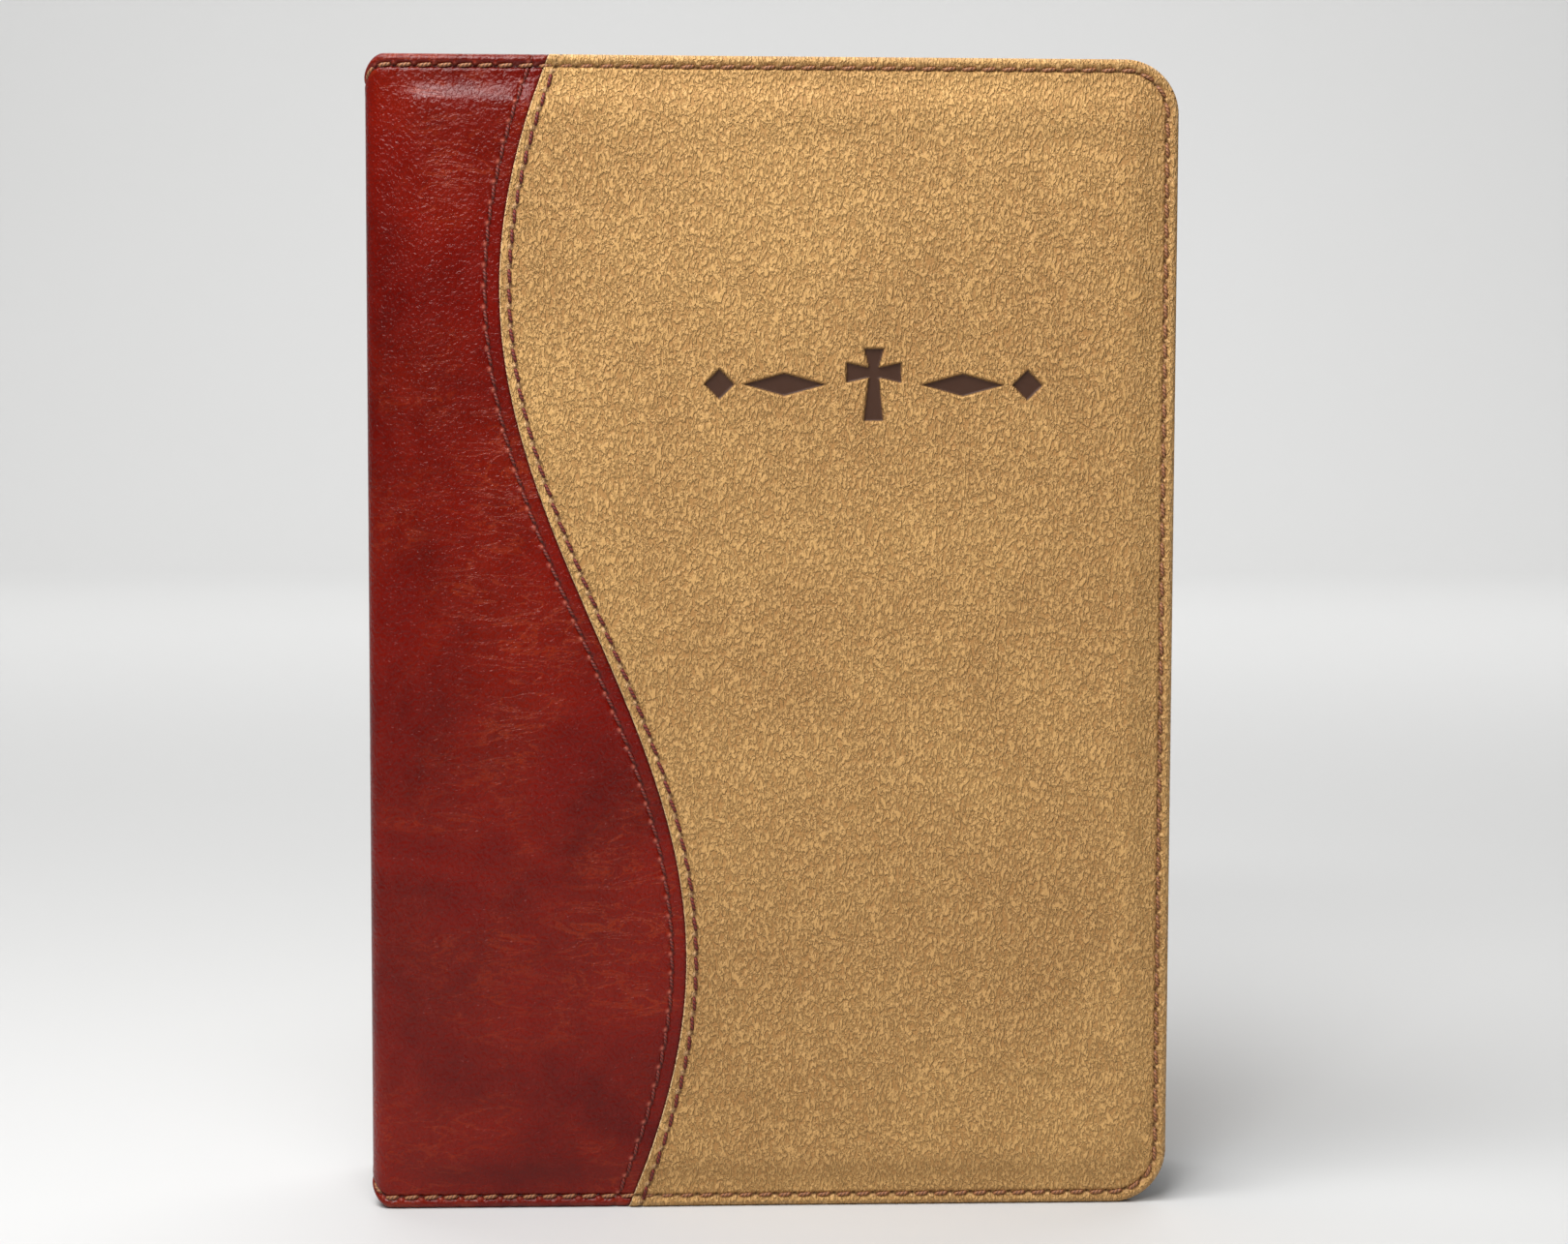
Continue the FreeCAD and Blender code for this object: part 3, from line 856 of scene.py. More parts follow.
def spring(x, y, z):
    """How far the closed zip bows out of the fore-edge: two bell curves along it, growing from
    the flange to the coil."""
    bow = 1.65 * bump(z - (z_tail + 27.0), 13.0) + 0.3 * bump(z - (z_tail + 145.0), 28.0)
    return bow * ease((x - x_turn) / 6.0) * ease((np.abs(y_front) - 3.0 - np.abs(y)) / 10.0)


def zip_tape(name, mirror):
    """Tape carried round the case: a flange on the board and a wall up to the coil, one closed
    profile, with a thickened edge where the coil is sewn on."""
    flange_y, top_y = tape_low[1], tape_high[1]
    foot_y = flange_y + tape_thickness
    rise = np.linspace(0, 1, 12)
    cord = 0.22 * bump(rise - 0.78, 0.05) + 0.05 * np.sin(rise * math.pi)
    rows = [(0.7, 0.7, flange_y), (7.0, 7.0, flange_y), (7.0, 7.0, foot_y)]
    inner = wall_side + tape_thickness, wall_end + tape_thickness
    rows += [(inner[0] + c, inner[1] + c, foot_y + (top_y - foot_y) * r) for r, c in zip(rise, cord)]
    rows += [(wall_side - c, wall_end - c, foot_y + (top_y - foot_y) * r)
             for r, c in zip(rise[::-1], cord[::-1])]
    rows.append((0.7, 0.7, foot_y))
    side, end, level = np.array(rows).T
    x, z = zip_outline(side, end)
    y = level[:, None]
    x = x + spring(x, y, z)
    points = grid(x, y, z).transpose(1, 0, 2)
    run = lengths_along(x[5], z[5])[:, None] / 1000
    across = lengths_along(side, level)[None] / 1000
    return build_mesh(name, [closed_sections(points, run=run, across=across)], mirror=mirror)


def zip_coil(name, mirror):
    """A flattened helix along the tape's free edge: one loop of nylon for each tooth."""
    x, z = zip_outline(wall_side - 0.6, wall_end - 0.6)
    length = lengths_along(x, z)
    start = 1.5
    loops = int((length[-1] - 2 * start) / coil_pitch)
    turns = np.arange(loops * loop_steps + 1) / loop_steps
    run = start + turns * coil_pitch
    angle = 2 * math.pi * turns + (math.pi if mirror else 0)
    px, pz = np.interp(run, length, x), np.interp(run, length, z)
    tx, tz = np.gradient(px), np.gradient(pz)
    size = np.hypot(tx, tz)
    nx, nz = -tz / size, tx / size
    y = y_joint - 0.85 + loop_height * np.sin(angle)
    px = px + nx * loop_width * np.cos(angle)
    pz = pz + nz * loop_width * np.cos(angle)
    px = px + spring(px, y, pz)
    path = grid(px, y, pz)[None]
    outward = grid(nx * np.cos(angle), np.sin(angle), nz * np.cos(angle))[None]
    return build_mesh(name, [tubes(path, nylon_radius, 5, outward)], mirror=mirror)


# ---------------------------------------------------------------- inside of the book

def to_round_corner(flat, high, radius, steps):
    """x along a slab to its round fore corners, and how far its head edge has fallen there."""
    centre = high - radius
    turn = np.linspace(0, math.pi / 2, steps)[1:]
    x = np.concatenate([*flat(centre), centre + radius * np.sin(turn)])
    return x, rounded_drop(x, centre, radius)


def leaves(name, node, sway):
    """A sheaf of leaves: a slab with round fore corners, its cut edges slightly uneven from leaf
    to leaf, running on to the fold."""
    low, high = extent(node)
    x, drop = to_round_corner(lambda centre: (
        np.linspace(x_fold, x_fold + 8, 16), np.linspace(x_fold + 8, centre, 8)[1:],
    ), high[0], 7.0, 14)
    share = np.linspace(0, 1, 13)
    across = low[1] + (high[1] - low[1]) * share
    uneven = sway * np.abs(np.sin(share * 17.0 + low[1]))
    bare = 0.25
    side = np.concatenate([across, across[[-1, -1]], across[::-1], across[[0, 0]]])
    bottom, top = low[2] + drop[:, None], high[2] - drop[:, None]
    z = np.concatenate([
        bottom + uneven, bottom + bare, top - bare, top - uneven[::-1], top - bare, bottom + bare,
    ], 1)
    rings = grid(x[:, None], side, z)
    cut = np.concatenate([0 * across + 1, [0, 0], 0 * across + 1, [0, 0]]) + 0 * z
    cut[-1] = 1
    return build_mesh(name, [closed_sections(rings, cut=cut)])


def hinge_lining(name, mirror):
    """Cloth that joins the spine's lining to the cover's: a cubic curve behind the leather."""
    spine_edge = extent("spine_lining")
    cover_edge = extent("front_lining")
    ends = np.array([
        [spine_edge[1][0] - 0.2, spine_edge[0][1] + 0.3],
        [spine_edge[1][0] + 0.3, y_front + leather],
        [x_hinge + 0.9, y_front + leather + 0.5],
        [cover_edge[0][0] + 0.1, cover_edge[0][1] + 0.2],
    ])
    t = np.linspace(0, 1, 28)[:, None]
    line = (
        ends[0] * (1 - t) ** 3 + 3 * ends[1] * t * (1 - t) ** 2
        + 3 * ends[2] * t ** 2 * (1 - t) + ends[3] * t ** 3
    )
    z = np.linspace(z_tail + 7.0, z_head - 7.0, 12)
    sheet = Sheet(grid(line[:, 0], line[:, 1], z[:, None]))
    piece = build_mesh(name, [patch_of(sheet)], mirror=mirror, closed=False)
    return thicken(piece, 0.00035, 0.0)


def foam_pad(name, mirror):
    """Foam between board and leather: flat below, crowned above, highest under the red leather."""
    low, high = extent("front_foam")
    x, drop = to_round_corner(lambda centre: (np.linspace(low[0], centre, 60),), high[0], 5.5, 10)
    share = 0.5 - 0.5 * np.cos(np.linspace(0, math.pi, 50))
    z = low[2] + drop[:, None] + (high[2] - low[2] - 2 * drop[:, None]) * share
    x = np.broadcast_to(x[:, None], z.shape)
    inset = np.minimum(np.minimum(x - low[0], high[0] - x), np.minimum(z - low[2], high[2] - z))
    edge = np.sqrt(np.clip(inset / 1.2, 0.02, 1))
    crown = (puff(x, z) - 0.1) * ease((-beside_seam(x, z)[0] - 1.0) / 5.0)
    top = high[1] + (low[1] - high[1] - np.maximum(crown, 0)) * edge
    y = np.concatenate([top, np.full(top.shape, high[1])], 1)
    rings = grid(np.concatenate([x, x], 1), y, np.concatenate([z, z[:, ::-1]], 1))
    return build_mesh(name, [closed_sections(rings)], mirror=mirror)


def ribbon(name):
    """Marker ribbon between the leaves: a flat strip with slow waves and a swallow-tail end."""
    low, high = extent("ribbon_marker")
    u = np.linspace(-1, 1, 9)
    v = np.linspace(0, 1, 70)[:, None]
    foot = low[2] + 3.2 * (1 - np.abs(u))
    z = foot + (high[2] - foot) * v
    x = 0.5 * (low[0] + high[0]) + 0.5 * (high[0] - low[0]) * u + 0 * v
    y = 0.1 * np.sin(v * 21.0) + 0.03 * np.sin(v * 9.0 + 4 * u)
    piece = build_mesh(name, [patch_of(Sheet(grid(x, y, z)))], closed=False)
    return thicken(piece, 0.00016, 0.0)


# ---------------------------------------------------------------- finishes

class Wiring:
    """Short ways to lay and join the nodes of one tree."""

    def __init__(self, tree):
        self.tree = tree

    def feed(self, socket, value):
        if isinstance(value, bpy.types.NodeSocket):
            self.tree.links.new(value, socket)
        else:
            socket.default_value = value

    def lay(self, kind, inputs=None, **settings):
        node = self.tree.nodes.new(kind)
        for key, value in settings.items():
            setattr(node, key, value)
        for key, value in (inputs or {}).items():
            self.feed(node.inputs[key], value)
        return node

    def math(self, operation, *values, clamp=False):
        node = self.lay("ShaderNodeMath", operation=operation, use_clamp=clamp)
        for socket, value in zip(node.inputs, values):
            self.feed(socket, value)
        return node.outputs[0]

    def times(self, first, second, clamp=False):
        return self.math("MULTIPLY", first, second, clamp=clamp)

    def minus(self, first, second):
        return self.math("SUBTRACT", first, second)

    def size(self, value):
        return self.math("ABSOLUTE", value)

    def vector(self, x, y, z):
        return self.lay("ShaderNodeCombineXYZ", {"X": x, "Y": y, "Z": z}).outputs[0]

    def parts(self, vector):
        return self.lay("ShaderNodeSeparateXYZ", {0: vector}).outputs

    def on_object(self):
        return self.lay("ShaderNodeTexCoord").outputs["Object"]

    def between(self, value, low, high, new_low=0.0, new_high=1.0, smooth=False):
        node = self.lay("ShaderNodeMapRange", {
            "Value": value, "From Min": low, "From Max": high, "To Min": new_low, "To Max": new_high,
        })
        if smooth:
            node.interpolation_type = "SMOOTHSTEP"
        return node.outputs[0]

    def mix(self, factor, first, second):
        node = self.lay("ShaderNodeMix", data_type="RGBA")
        for index, value in ((0, factor), (6, first), (7, second)):
            self.feed(node.inputs[index], value)
        return node.outputs[2]

    def coats(self, colour, *layers):
        """Thin layers over a colour, real tones as well as painted shade and painted highlights:
        each has its mask, its strength and its card colour.
        """
        for mask, strength, tone in layers:
            colour = self.mix(self.times(mask, strength), colour, tint(*tone))
        return colour

    def noise(self, place, scale, detail=2.0, rough=0.5, warp=0.0):
        node = self.lay("ShaderNodeTexNoise", {
            "Vector": place, "Scale": scale, "Detail": detail, "Roughness": rough,
            "Distortion": warp,
        })
        return node.outputs["Fac"]

    def stretch(self, place, x, y, z):
        node = self.lay("ShaderNodeVectorMath", {0: place, 1: (x, y, z)}, operation="MULTIPLY")
        return node.outputs[0]

    def value(self, name):
        return self.lay("ShaderNodeAttribute", attribute_name=name).outputs["Fac"]

    def place(self):
        return self.lay("ShaderNodeAttribute", attribute_name="place").outputs["Vector"]

    def placed(self, tree, inputs):
        node = self.tree.nodes.new("ShaderNodeGroup")
        node.node_tree = tree
        for key, value in inputs.items():
            self.feed(node.inputs[key], value)
        return node.outputs


def effect(name, inputs, outputs, wire):
    """A shader node group with named inputs and outputs; wire lays its nodes and returns the
    sockets that go out."""
    tree = bpy.data.node_groups.new(name, "ShaderNodeTree")
    kinds = {float: "NodeSocketFloat", tuple: "NodeSocketVector"}
    for key, value in inputs.items():
        socket = tree.interface.new_socket(name=key, in_out="INPUT", socket_type=kinds[type(value)])
        if isinstance(value, float):
            socket.default_value = value
    for key in outputs:
        tree.interface.new_socket(name=key, in_out="OUTPUT", socket_type="NodeSocketFloat")
    source = tree.nodes.new("NodeGroupInput")
    sink = tree.nodes.new("NodeGroupOutput")
    for key, socket in zip(outputs, wire(Wiring(tree), source.outputs)):
        tree.links.new(socket, sink.inputs[key])
    return tree


def wire_grain(w, given):
    """Short branching ridges: stretched noise, bent by a slower one and squeezed to two levels."""
    slow = w.noise(given["Place"], 160.0, 1.0)
    bend = w.times(w.minus(slow, 0.5), given["Wander"])
    scale = w.vector(
        w.math("DIVIDE", 1000.0, given["Across"]), 300.0, w.math("DIVIDE", 1000.0, given["Along"])
    )
    place = w.lay("ShaderNodeVectorMath", {0: given["Place"], 1: scale}, operation="MULTIPLY")
    place = w.lay("ShaderNodeVectorMath", {0: place.outputs[0], 1: w.vector(bend, 0.0, bend)})
    fibre = w.noise(place.outputs[0], 1.0, 2.5, 0.45, 0.5)
    return w.between(fibre, 0.36, 0.64, smooth=True), w.between(fibre, 0.5, 0.34)


def wire_clouds(w, given):
    """Slow and quick unevenness of colour: two noises of different size."""
    broad = w.noise(given["Place"], w.math("DIVIDE", 1000.0, given["Size"]), 3.0, 0.55, 0.4)
    quick = w.noise(given["Place"], w.math("DIVIDE", 6000.0, given["Size"]), 4.0, 0.6, 0.3)
    return w.between(broad, 0.3, 0.7), w.between(quick, 0.3, 0.7)


def wire_creases(w, given):
    """Fine creases: where a bent, stretched noise passes its middle value, a thin line."""
    flat = w.stretch(given["Place"], 90.0, 60.0, 300.0)
    line = w.noise(flat, 1.0, 4.0, 0.6, 0.9)
    near = w.size(w.minus(line, 0.5))
    sharp = w.between(near, 0.0, given["Width"], 1.0, 0.0)
    where = w.noise(given["Place"], 34.0, 2.0, 0.5, 0.8)
    return w.times(sharp, w.between(where, 0.46, 0.66)), w.between(where, 0.4, 0.7)


def wire_weave(w, given):
    """Over-and-under threads: two sines along and across, each raised where the other dips."""
    turn = 2 * math.pi
    along = w.times(w.math("DIVIDE", given["Along"], given["Pitch"]), turn)
    across = w.times(w.math("DIVIDE", given["Across"], given["Pitch"]), turn)
    warp = w.size(w.math("SINE", w.times(along, 0.5)))
    weft = w.size(w.math("SINE", w.times(across, 0.5)))
    check = w.times(w.math("SINE", along), w.math("SINE", across))
    height = w.math("ADD", w.times(w.math("ADD", warp, weft), 0.35), w.times(check, 0.3))
    return height, w.between(height, 0.15, 0.6)


def wire_ply(w, given):
    """Twist of a thread: a sine of the angle round it plus the share along it; its grooves give a
    mask of painted shade.
    """
    angle = w.math("ARCTAN2", given["Sine"], given["Cosine"])
    twist = w.times(given["Along"], given["Turns"])
    wave = w.math("SINE", w.math("ADD", w.times(angle, 2.0), twist))
    return w.between(wave, -1.0, 1.0), w.between(wave, -0.2, -1.0)


def wire_rub(w, given):
    """Rubbed places: the rim's own value, broken up by a noise."""
    spots = w.noise(given["Place"], 420.0, 3.0, 0.6)
    rubbed = w.times(given["Rim"], w.between(spots, 0.42, 0.62))
    return [w.times(rubbed, given["Amount"], clamp=True)]


def wire_print(w, given):
    """Greyed columns in place of print: rows of short dashes, in two columns with a middle gap."""
    parts = w.parts(given["Place"])
    x = w.times(w.minus(parts[0], 0.0015), 1000.0)
    z = w.times(w.minus(parts[2], 0.1), 1000.0)
    row = w.math("FLOOR", w.math("DIVIDE", z, 2.5))
    within = w.minus(w.math("DIVIDE", z, 2.5), row)
    body = w.between(w.size(w.minus(within, 0.5)), 0.25, 0.32, 1.0, 0.0)
    spot = w.vector(w.times(x, 0.55), w.times(row, 3.7), 0.0)
    words = w.between(w.noise(spot, 1.0, 1.0), 0.36, 0.42)
    strokes = w.between(w.math("SINE", w.times(x, 7.4)), -0.9, 0.2, 0.25, 1.0)
    off_middle = w.size(x)
    gutter = w.between(off_middle, 2.0, 2.3)
    margin = w.between(off_middle, 54.5, 55.0, 1.0, 0.0)
    ends = w.between(w.size(z), 82.0, 82.5, 1.0, 0.0)
    ink = w.times(w.times(body, words), w.times(strokes, gutter))
    return [w.times(ink, w.times(margin, ends))]


grain = effect("leather grain", {"Place": (0,), "Across": 1.0, "Along": 2.4, "Wander": 1.0},
               ["Height", "Valley"], wire_grain)
clouds = effect("uneven dye", {"Place": (0,), "Size": 30.0}, ["Broad", "Quick"], wire_clouds)
creases = effect("creases", {"Place": (0,), "Width": 0.03}, ["Line", "Where"], wire_creases)
weave = effect("weave", {"Along": 0.0, "Across": 0.0, "Pitch": 0.001}, ["Height", "Lit"], wire_weave)
ply = effect("thread twist", {"Along": 0.0, "Cosine": 0.0, "Sine": 0.0, "Turns": 12.0},
             ["Height", "Groove"], wire_ply)
print_rows = effect("greyed print", {"Place": (0,)}, ["Ink"], wire_print)
rub = effect("rubbed edge", {"Place": (0,), "Rim": 0.0, "Amount": 0.5}, ["Mask"], wire_rub)


def tint(red, green, blue):
    """Colour given as on a paint card, 0 to 255, made linear."""
    card = np.array([red, green, blue]) / 255
    linear = np.where(card <= 0.04045, card / 12.92, ((card + 0.055) / 1.055) ** 2.4)
    return (*[float(v) for v in linear], 1.0)


def finish_of(name, wire, **constants):
    """A material: constants go on the shader's own sockets; wire returns base colour,
    roughness, the height of its bump and that bump's depth in metres."""
    material = bpy.data.materials.new(name)
    material.use_nodes = True
    w = Wiring(material.node_tree)
    shader = material.node_tree.nodes["Principled BSDF"]
    colour, rough, bump_height, depth = wire(w)
    w.feed(shader.inputs["Base Color"], colour)
    w.feed(shader.inputs["Roughness"], rough)
    relief = w.lay("ShaderNodeBump", {"Height": bump_height, "Strength": 1.0, "Distance": depth})
    w.feed(shader.inputs["Normal"], relief.outputs[0])
    for key, value in constants.items():
        shader.inputs[key].default_value = value
    return material


def wire_tan(w):
    place = w.place()
    ridges = w.placed(grain, {"Place": place, "Across": 0.44, "Along": 0.9, "Wander": 2.4})
    dye = w.placed(clouds, {"Place": place, "Size": 34.0})
    worn = w.placed(rub, {"Place": place, "Rim": w.value("rim"), "Amount": 0.35})
    colour = w.coats(
        w.mix(dye["Broad"], tint(188, 141, 84), tint(212, 164, 100)),
        (dye["Quick"], 0.14, (178, 134, 72)),
        (ridges["Valley"], 0.5, (136, 90, 46)),
        (ridges["Height"], 0.16, (226, 188, 128)),
        (worn["Mask"], 1.0, (214, 180, 134)),
        (w.value("raw"), 0.8, (226, 200, 154)),
        # painted shade in the stitch grooves and needle holes
        (w.value("shade"), 0.85, (74, 38, 22)),
        # painted highlight on the raised knots between stitches
        (w.value("knot"), 0.8, (236, 190, 146)),
        (w.value("stamp"), 1.0, (66, 40, 26)),
    )
    smooth = w.minus(1.0, w.value("stamp"))
    height = w.times(ridges["Height"], smooth)
    rough = w.between(ridges["Height"], 0.0, 1.0, 0.62, 0.5)
    return colour, rough, height, 0.0004


def wire_red(w):
    place = w.place()
    dye = w.placed(clouds, {"Place": place, "Size": 26.0})
    lines = w.placed(creases, {"Place": place, "Width": 0.032})
    pores = w.placed(grain, {"Place": place, "Across": 0.7, "Along": 0.8, "Wander": 1.0})
    worn = w.placed(rub, {"Place": place, "Rim": w.value("rim"), "Amount": 0.3})
    colour = w.coats(
        w.mix(dye["Broad"], tint(76, 4, 1), tint(114, 12, 2)),
        (dye["Quick"], 0.35, (122, 20, 6)),
        (lines["Where"], 0.2, (140, 38, 12)),
        (lines["Line"], 0.3, (168, 64, 28)),
        (worn["Mask"], 1.0, (170, 92, 66)),
        # painted shade in the stitch grooves and needle holes, and painted shadow under the tan
        # leather's lap
        (w.value("shade"), 0.85, (40, 5, 4)),
        # painted highlight on the raised knots between stitches
        (w.value("knot"), 0.7, (206, 116, 96)),
    )
    height = w.math("ADD", w.times(pores["Height"], 0.7), w.times(lines["Line"], -0.3))
    rough = w.between(dye["Quick"], 0.0, 1.0, 0.2, 0.3)
    return colour, rough, height, 0.0001


def thread_finish(name, light, dark):
    """Twisted thread: painted shade darkens the grooves of its twist."""
    def wire(w):
        twist = w.placed(ply, {
            "Along": w.value("along"), "Cosine": w.value("turn_cosine"),
            "Sine": w.value("turn_sine"), "Turns": 26.0,
        })
        fuzz = w.noise(w.place(), 5200.0, 2.0)
        # painted shade in the grooves of the twist
        colour = w.coats(tint(*light), (twist["Groove"], 1.0, dark), (fuzz, 0.3, dark))
        return colour, w.between(fuzz, 0.0, 1.0, 0.5, 0.7), twist["Height"], 0.00008
    return finish_of(name, wire)


def cloth_finish(name, light, dark, pitch_m, axes=None, rough=0.85):
    """Woven cloth, laid along its own fields or along two axes of the object."""
    def wire(w):
        if axes is None:
            along, across = w.value("run"), w.value("across")
        else:
            parts = w.parts(w.on_object())
            along, across = parts[axes[0]], parts[axes[1]]
        cloth = w.placed(weave, {"Along": along, "Across": across, "Pitch": pitch_m})
        slub = w.noise(w.on_object(), 900.0, 3.0)
        # painted light and shade: the light tone on the raised threads, the dark tone in the dips
        # between them
        colour = w.coats(tint(*dark), (cloth["Lit"], 1.0, light), (slub, 0.25, dark))
        rough_here = w.between(slub, 0.0, 1.0, rough - 0.08, rough + 0.06)
        return colour, rough_here, cloth["Height"], 0.00012
    return finish_of(name, wire)


def leaf_finish(name, light, dark, printed, own_place=True):
    """Paper: thin dark lines of painted shade between the leaves on its cut edges, greyed columns on
    its faces where it is printed.
    """
    def wire(w):
        place = w.place() if own_place else w.on_object()
        cut = w.value("cut")
        thin = w.noise(w.stretch(place, 12.0, 5200.0, 12.0), 1.0, 3.0, 0.7)
        fibre = w.noise(place, 700.0, 4.0, 0.6)
        # painted shade between the leaves on the cut edges
        lines = w.times(w.between(thin, 0.4, 0.62), w.times(cut, 0.75))
        colour = w.coats(tint(*light), (lines, 1.0, dark), (fibre, 0.12, dark))
        if printed:
            ink = w.placed(print_rows, {"Place": place})["Ink"]
            ink = w.times(ink, w.minus(1.0, cut))
            colour = w.mix(w.times(ink, 0.62), colour, tint(70, 66, 62))
        height = w.math("ADD", w.times(thin, cut), w.times(fibre, 0.1))
        return colour, w.between(fibre, 0.0, 1.0, 0.66, 0.8), height, 0.00006
    return finish_of(name, wire)


def wire_metal(w):
    place = w.on_object()
    strokes = w.noise(w.stretch(place, 60.0, 1400.0, 900.0), 1.0, 3.0, 0.6)
    stain = w.noise(place, 260.0, 3.0, 0.55)
    colour = w.mix(w.between(stain, 0.3, 0.75), tint(186, 162, 118), tint(158, 132, 92))
    rough = w.between(strokes, 0.3, 0.7, 0.26, 0.4)
    return colour, rough, strokes, 0.00002


def speckled(name, scale, detail, uneven, dark, light, smooth, rough, depth):
    """A plain stuff: one noise drives its colour, its roughness and its bump."""
    def wire(w):
        speck = w.noise(w.on_object(), scale, detail, uneven)
        colour = w.mix(speck, tint(*dark), tint(*light))
        return colour, w.between(speck, 0.0, 1.0, smooth, rough), speck, depth
    return finish_of(name, wire)


def wire_foam(w):
    cells = w.lay("ShaderNodeTexVoronoi", {
        "Vector": w.on_object(), "Scale": 1500.0,
    }).outputs["Distance"]
    # darker in the pits of the cells: painted shade
    colour = w.mix(w.between(cells, 0.1, 0.7), tint(214, 206, 186), tint(238, 232, 216))
    return colour, w.between(cells, 0.0, 1.0, 0.8, 0.95), cells, 0.0002


def wire_band(w):
    y = w.parts(w.on_object())[1]
    wave = w.math("SINE", w.times(y, 2 * math.pi / 0.0024))
    silk = w.size(w.math("SINE", w.times(y, math.pi / 0.0004)))
    colour = w.mix(w.between(wave, -0.25, 0.25), tint(134, 28, 24), tint(232, 220, 190))
    # darker where the silk wraps dip: painted shade between them
    colour = w.mix(w.between(silk, 0.35, 0.0, 0.0, 0.5), colour, tint(70, 20, 16))
    return colour, w.between(silk, 0.0, 1.0, 0.6, 0.42), silk, 0.00012


tan_leather = finish_of("tan leather", wire_tan, **{"Specular IOR Level": 0.3})
red_leather = finish_of("oiled red leather", wire_red, **{
    "Coat Weight": 0.05, "Coat Roughness": 0.12, "Specular IOR Level": 0.2,
})
gold_thread = thread_finish("copper thread", (168, 112, 72), (84, 48, 32))
red_thread = thread_finish("dark red thread", (124, 40, 26), (52, 12, 10))
tape_cloth = cloth_finish("zip tape", (46, 33, 28), (22, 15, 13), 0.0009)
lining_cloth = cloth_finish("lining", (116, 60, 44), (74, 34, 26), 0.0006, (0, 2))
spine_cloth = cloth_finish("spine lining", (116, 60, 44), (74, 34, 26), 0.0006, (1, 2))
gauze = cloth_finish("backing cloth", (222, 214, 196), (170, 160, 140), 0.0011, (1, 2))
marker_silk = cloth_finish("marker ribbon", (142, 30, 30), (84, 12, 14), 0.0004, (0, 2), 0.45)
nylon = speckled("nylon coil", 2600.0, 2.0, 0.5, (30, 21, 18), (52, 38, 32), 0.36, 0.5, 0.00002)
brass = finish_of("old brass", wire_metal, Metallic=1.0)
board = speckled(
    "greyboard", 1300.0, 4.0, 0.65, (150, 138, 118), (186, 174, 152), 0.75, 0.9, 0.00008,
)
foam = finish_of("foam", wire_foam)
band = finish_of("head band", wire_band)
page_edges = leaf_finish("leaves", (240, 232, 212), (186, 172, 144), True)
free_paper = leaf_finish("free end leaf", (236, 226, 204), (206, 192, 164), False)
end_paper = leaf_finish("end paper", (236, 226, 204), (206, 192, 164), False, False)


# ---------------------------------------------------------------- the bible

def dress(piece, material, rides, slot, *stands_for):
    """Gives a piece its material and ties it to the body it rides on; given the two it bends
    between instead, it only bakes its place into its mesh. It hides the nodes it stands for.
    The slot is not used."""
    piece.data.materials.clear()
    piece.data.materials.append(material)
    if isinstance(rides, str):
        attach(piece, rides)
    else:
        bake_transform(piece)
    if stands_for:
        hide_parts(*stands_for)
    return piece


def metres(x, y, z):
    return (0.001 * x, 0.001 * y, 0.001 * z)


hinge_start = metres(x_hinge - 2.0, y_front, 0)
hinge_end = metres(x_hinge + 2.0, y_front, 0)
lining_start = metres(extent("spine_lining")[1][0] + 0.2, y_front, 0)
lining_end = metres(extent("front_lining")[0][0] - 0.1, y_front, 0)
fold_start = metres(x_fold, 0, 0)
fold_end = metres(x_fold + 5.5, 0, 0)

for side, mirror in (("front", False), ("back", True)):
    cover = f"{side}_cover"
    turn_over = ("spine", cover, hinge_start, hinge_end)
    dress(tan_panel(f"{side}_tan_leather", mirror), tan_leather, cover,
          "tan_leather", f"{side}_leather_tan")
    dress(red_skin(f"{side}_red_leather", mirror), red_leather, turn_over,
          "red_leather", f"{side}_leather_red", *([] if mirror else ["spine_leather"]))
    dress(edge_threads(f"{side}_edge_threads", mirror), gold_thread, turn_over,
          "tan_thread", f"{side}_edge_stitching", *([] if mirror else ["spine_stitching"]))
    for colour, row, relief_of, lift in (
        ("tan", tan_row, tan_relief, 0.2), ("red", red_row, red_relief, 0.12),
    ):
        dress(seam_threads(f"{side}_seam_threads_{colour}", row, relief_of, lift, mirror),
              red_thread, cover, "red_thread", f"{side}_seam_stitching_{colour}")
    dress(zip_tape(f"{side}_tape", mirror), tape_cloth, cover, "zip_tape", f"{side}_zip_tape")
    dress(zip_coil(f"{side}_coil", mirror), nylon, cover, "zip_coil", f"{side}_zip_coil")
    dress(hinge_lining(f"{side}_hinge_lining", mirror), lining_cloth,
          ("spine", cover, lining_start, lining_end), "lining")
    pad = dress(foam_pad(f"{side}_foam_pad", mirror), foam, cover, "foam", f"{side}_foam")
    dress(leaves(f"{side}_free_leaf", f"{side}_flyleaf", 0.0), free_paper,
          ("spine", f"{side}_leaf", fold_start, fold_end), "endpaper", f"{side}_flyleaf")
    for number in (1, 2, 3):
        node = f"{side}_pages_{number}"
        dress(leaves(f"{side}_leaves_{number}", node, 0.12), page_edges,
              ("spine", f"{side}_section_{number}", fold_start, fold_end), "page", node)

dress(ribbon("marker_ribbon"), marker_silk, "back_section_3", "ribbon", "ribbon_marker")

kept_finishes = {
    "board": board, "lining": lining_cloth, "pastedown": end_paper, "zip_stops": brass,
}
for side in ("front", "back"):
    for part, finish in kept_finishes.items():
        frame["nodes"][f"{side}_{part}"].material_slots[0].material = finish
for node, finish in {
    "spine_board": board, "spine_lining": spine_cloth, "backing_cloth": gauze,
    "page_block_back": end_paper, "headband": band, "tailband": band, "slider_body": brass,
    "pull_tab": brass,
}.items():
    frame["nodes"][node].material_slots[0].material = finish


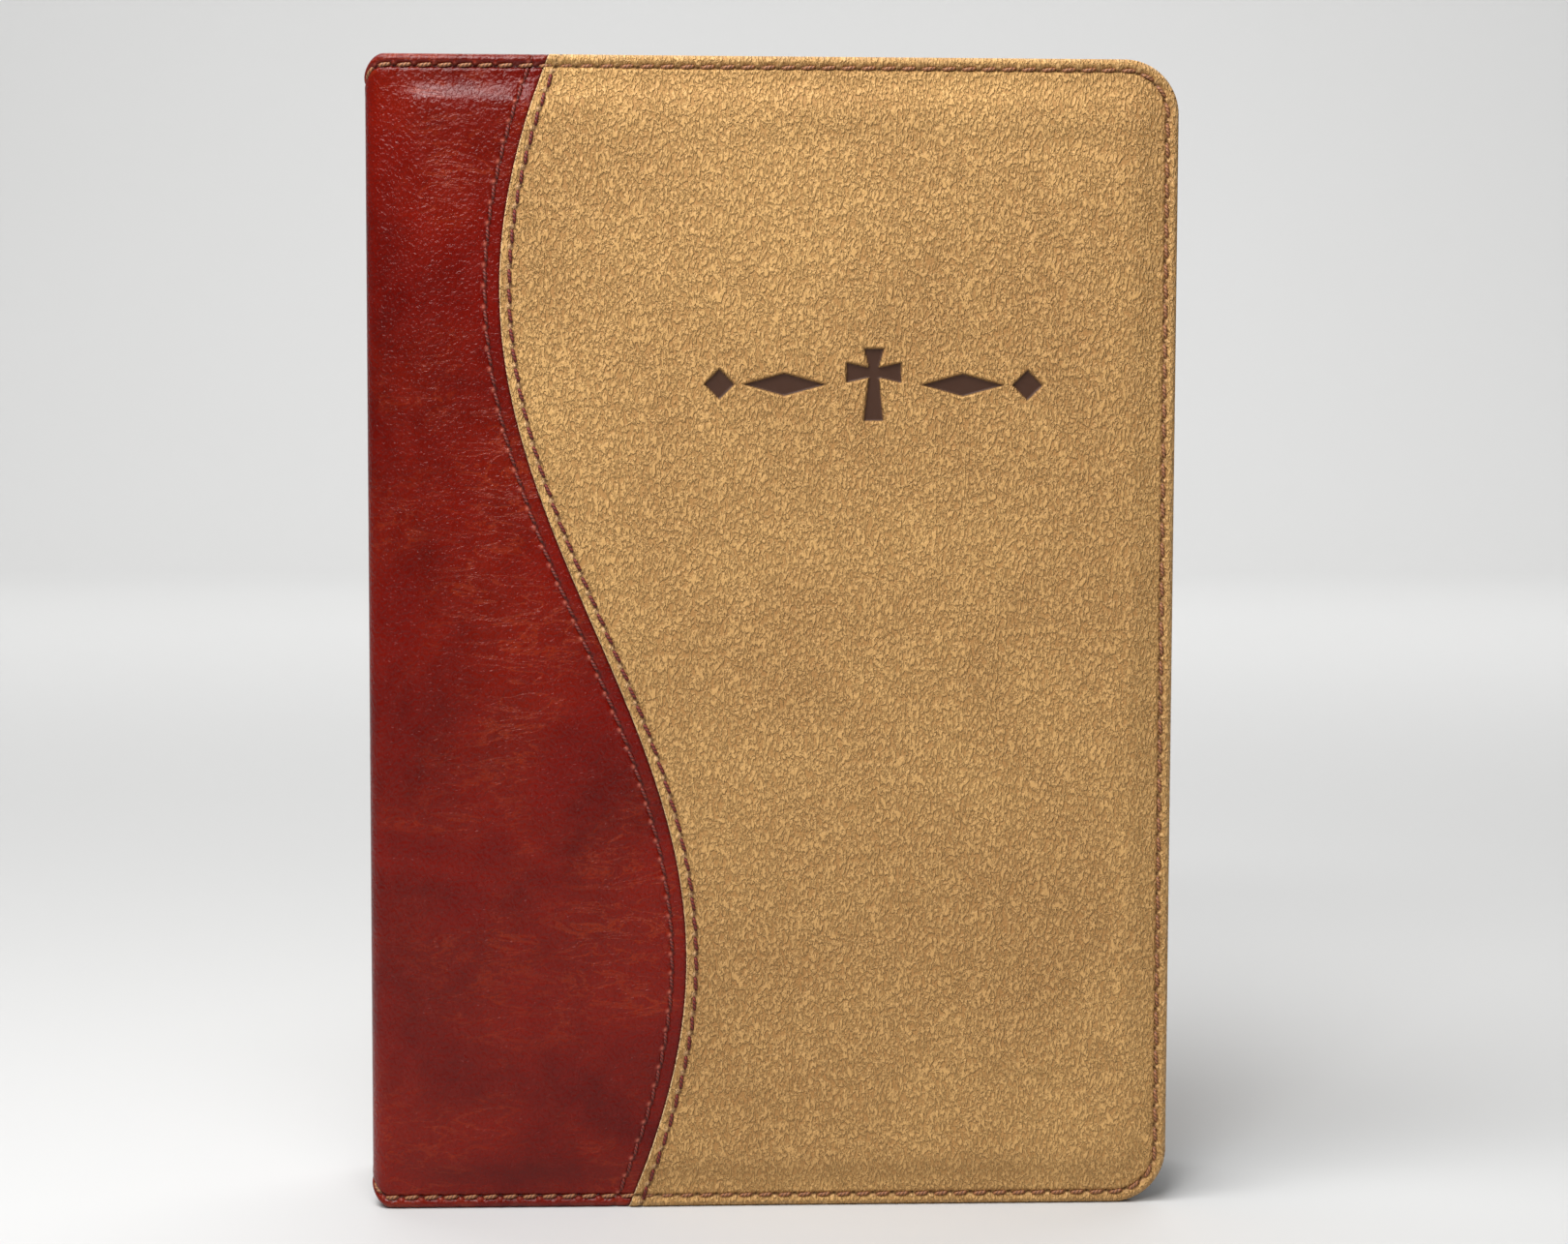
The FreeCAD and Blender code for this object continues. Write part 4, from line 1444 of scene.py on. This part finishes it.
# ---------------------------------------------------------------- floor, light and camera

def wire_floor(w):
    """Pale paper, very slightly uneven in tone."""
    tone = w.times(w.noise(w.on_object(), 3.0, 2.0), 0.1)
    return w.mix(tone, tint(200, 200, 199), tint(214, 214, 218))


def sweep():
    """Floor that turns up behind into a wall: a flat, a quarter circle and an upright, in metres."""
    radius = 0.6
    back = 1.9
    angle = np.linspace(0, math.pi / 2, 20)[1:]
    y = np.concatenate([[-6.0, -2.0, 0.0, back], back + radius * np.sin(angle), [back + radius] * 2])
    z = np.concatenate([[0, 0, 0, 0], radius * (1 - np.cos(angle)), [1.6, 3.4]])
    x = np.linspace(-4.0, 4.0, 9)
    sheet = Sheet(1000 * grid(x[:, None], y, z))
    piece = build_mesh("floor", [patch_of(sheet)], closed=False)
    material = bpy.data.materials.new("pale floor")
    material.use_nodes = True
    shader = material.node_tree.nodes["Principled BSDF"]
    w = Wiring(material.node_tree)
    w.feed(shader.inputs["Base Color"], wire_floor(w))
    shader.inputs["Roughness"].default_value = 0.8
    piece.data.materials.append(material)


sweep()


def soft_light(name, place, target, size, power):
    light = bpy.data.lights.new(name, "AREA")
    light.shape = "RECTANGLE"
    light.size, light.size_y = size
    light.energy = power
    lamp = bpy.data.objects.new(name, light)
    way = np.array(target) - np.array(place)
    lamp.location = place
    lamp.rotation_euler = Vector(way).to_track_quat("-Z", "Y").to_euler()
    bpy.context.scene.collection.objects.link(lamp)


soft_light("key", (-0.25, -0.85, 0.72), (-0.05, 0, 0.15), (0.3, 0.1), 3.9)
soft_light("overhead", (-0.15, -0.22, 0.6), (0, 0, 0.1), (0.4, 0.3), 4.5)
soft_light("backdrop", (0.1, 1.1, 1.7), (0.1, 2.1, 0.1), (3.2, 0.8), 54.0)

world = bpy.data.worlds.new("studio")
world.use_nodes = True
world.node_tree.nodes["Background"].inputs["Color"].default_value = (1, 1, 1, 1)
world.node_tree.nodes["Background"].inputs["Strength"].default_value = 0.1
bpy.context.scene.world = world
bpy.context.scene.view_settings.view_transform = "Standard"

camera_distance = 0.5
focal_length, sensor_width = 66.244444, 36.0
azimuth, elevation, roll = math.radians(2.51), math.radians(4.22), math.radians(0.18)
target = Vector(metres(2.07, y_front, z_tail + 103.0))
ahead = Vector((
    math.sin(azimuth) * math.cos(elevation), math.cos(azimuth) * math.cos(elevation),
    -math.sin(elevation),
))
right = ahead.cross(Vector((0, 0, 1))).normalized()
upward = right.cross(ahead)
right, upward = (
    math.cos(roll) * right + math.sin(roll) * upward,
    math.cos(roll) * upward - math.sin(roll) * right,
)
lens = bpy.data.cameras.new("camera")
lens.sensor_width = sensor_width
lens.lens = focal_length
lens.clip_start = 0.02
camera = bpy.data.objects.new("camera", lens)
turned = Matrix((right, upward, -ahead)).transposed().to_4x4()
turned.translation = target - camera_distance * ahead
camera.matrix_world = turned
bpy.context.scene.collection.objects.link(camera)
bpy.context.scene.camera = camera
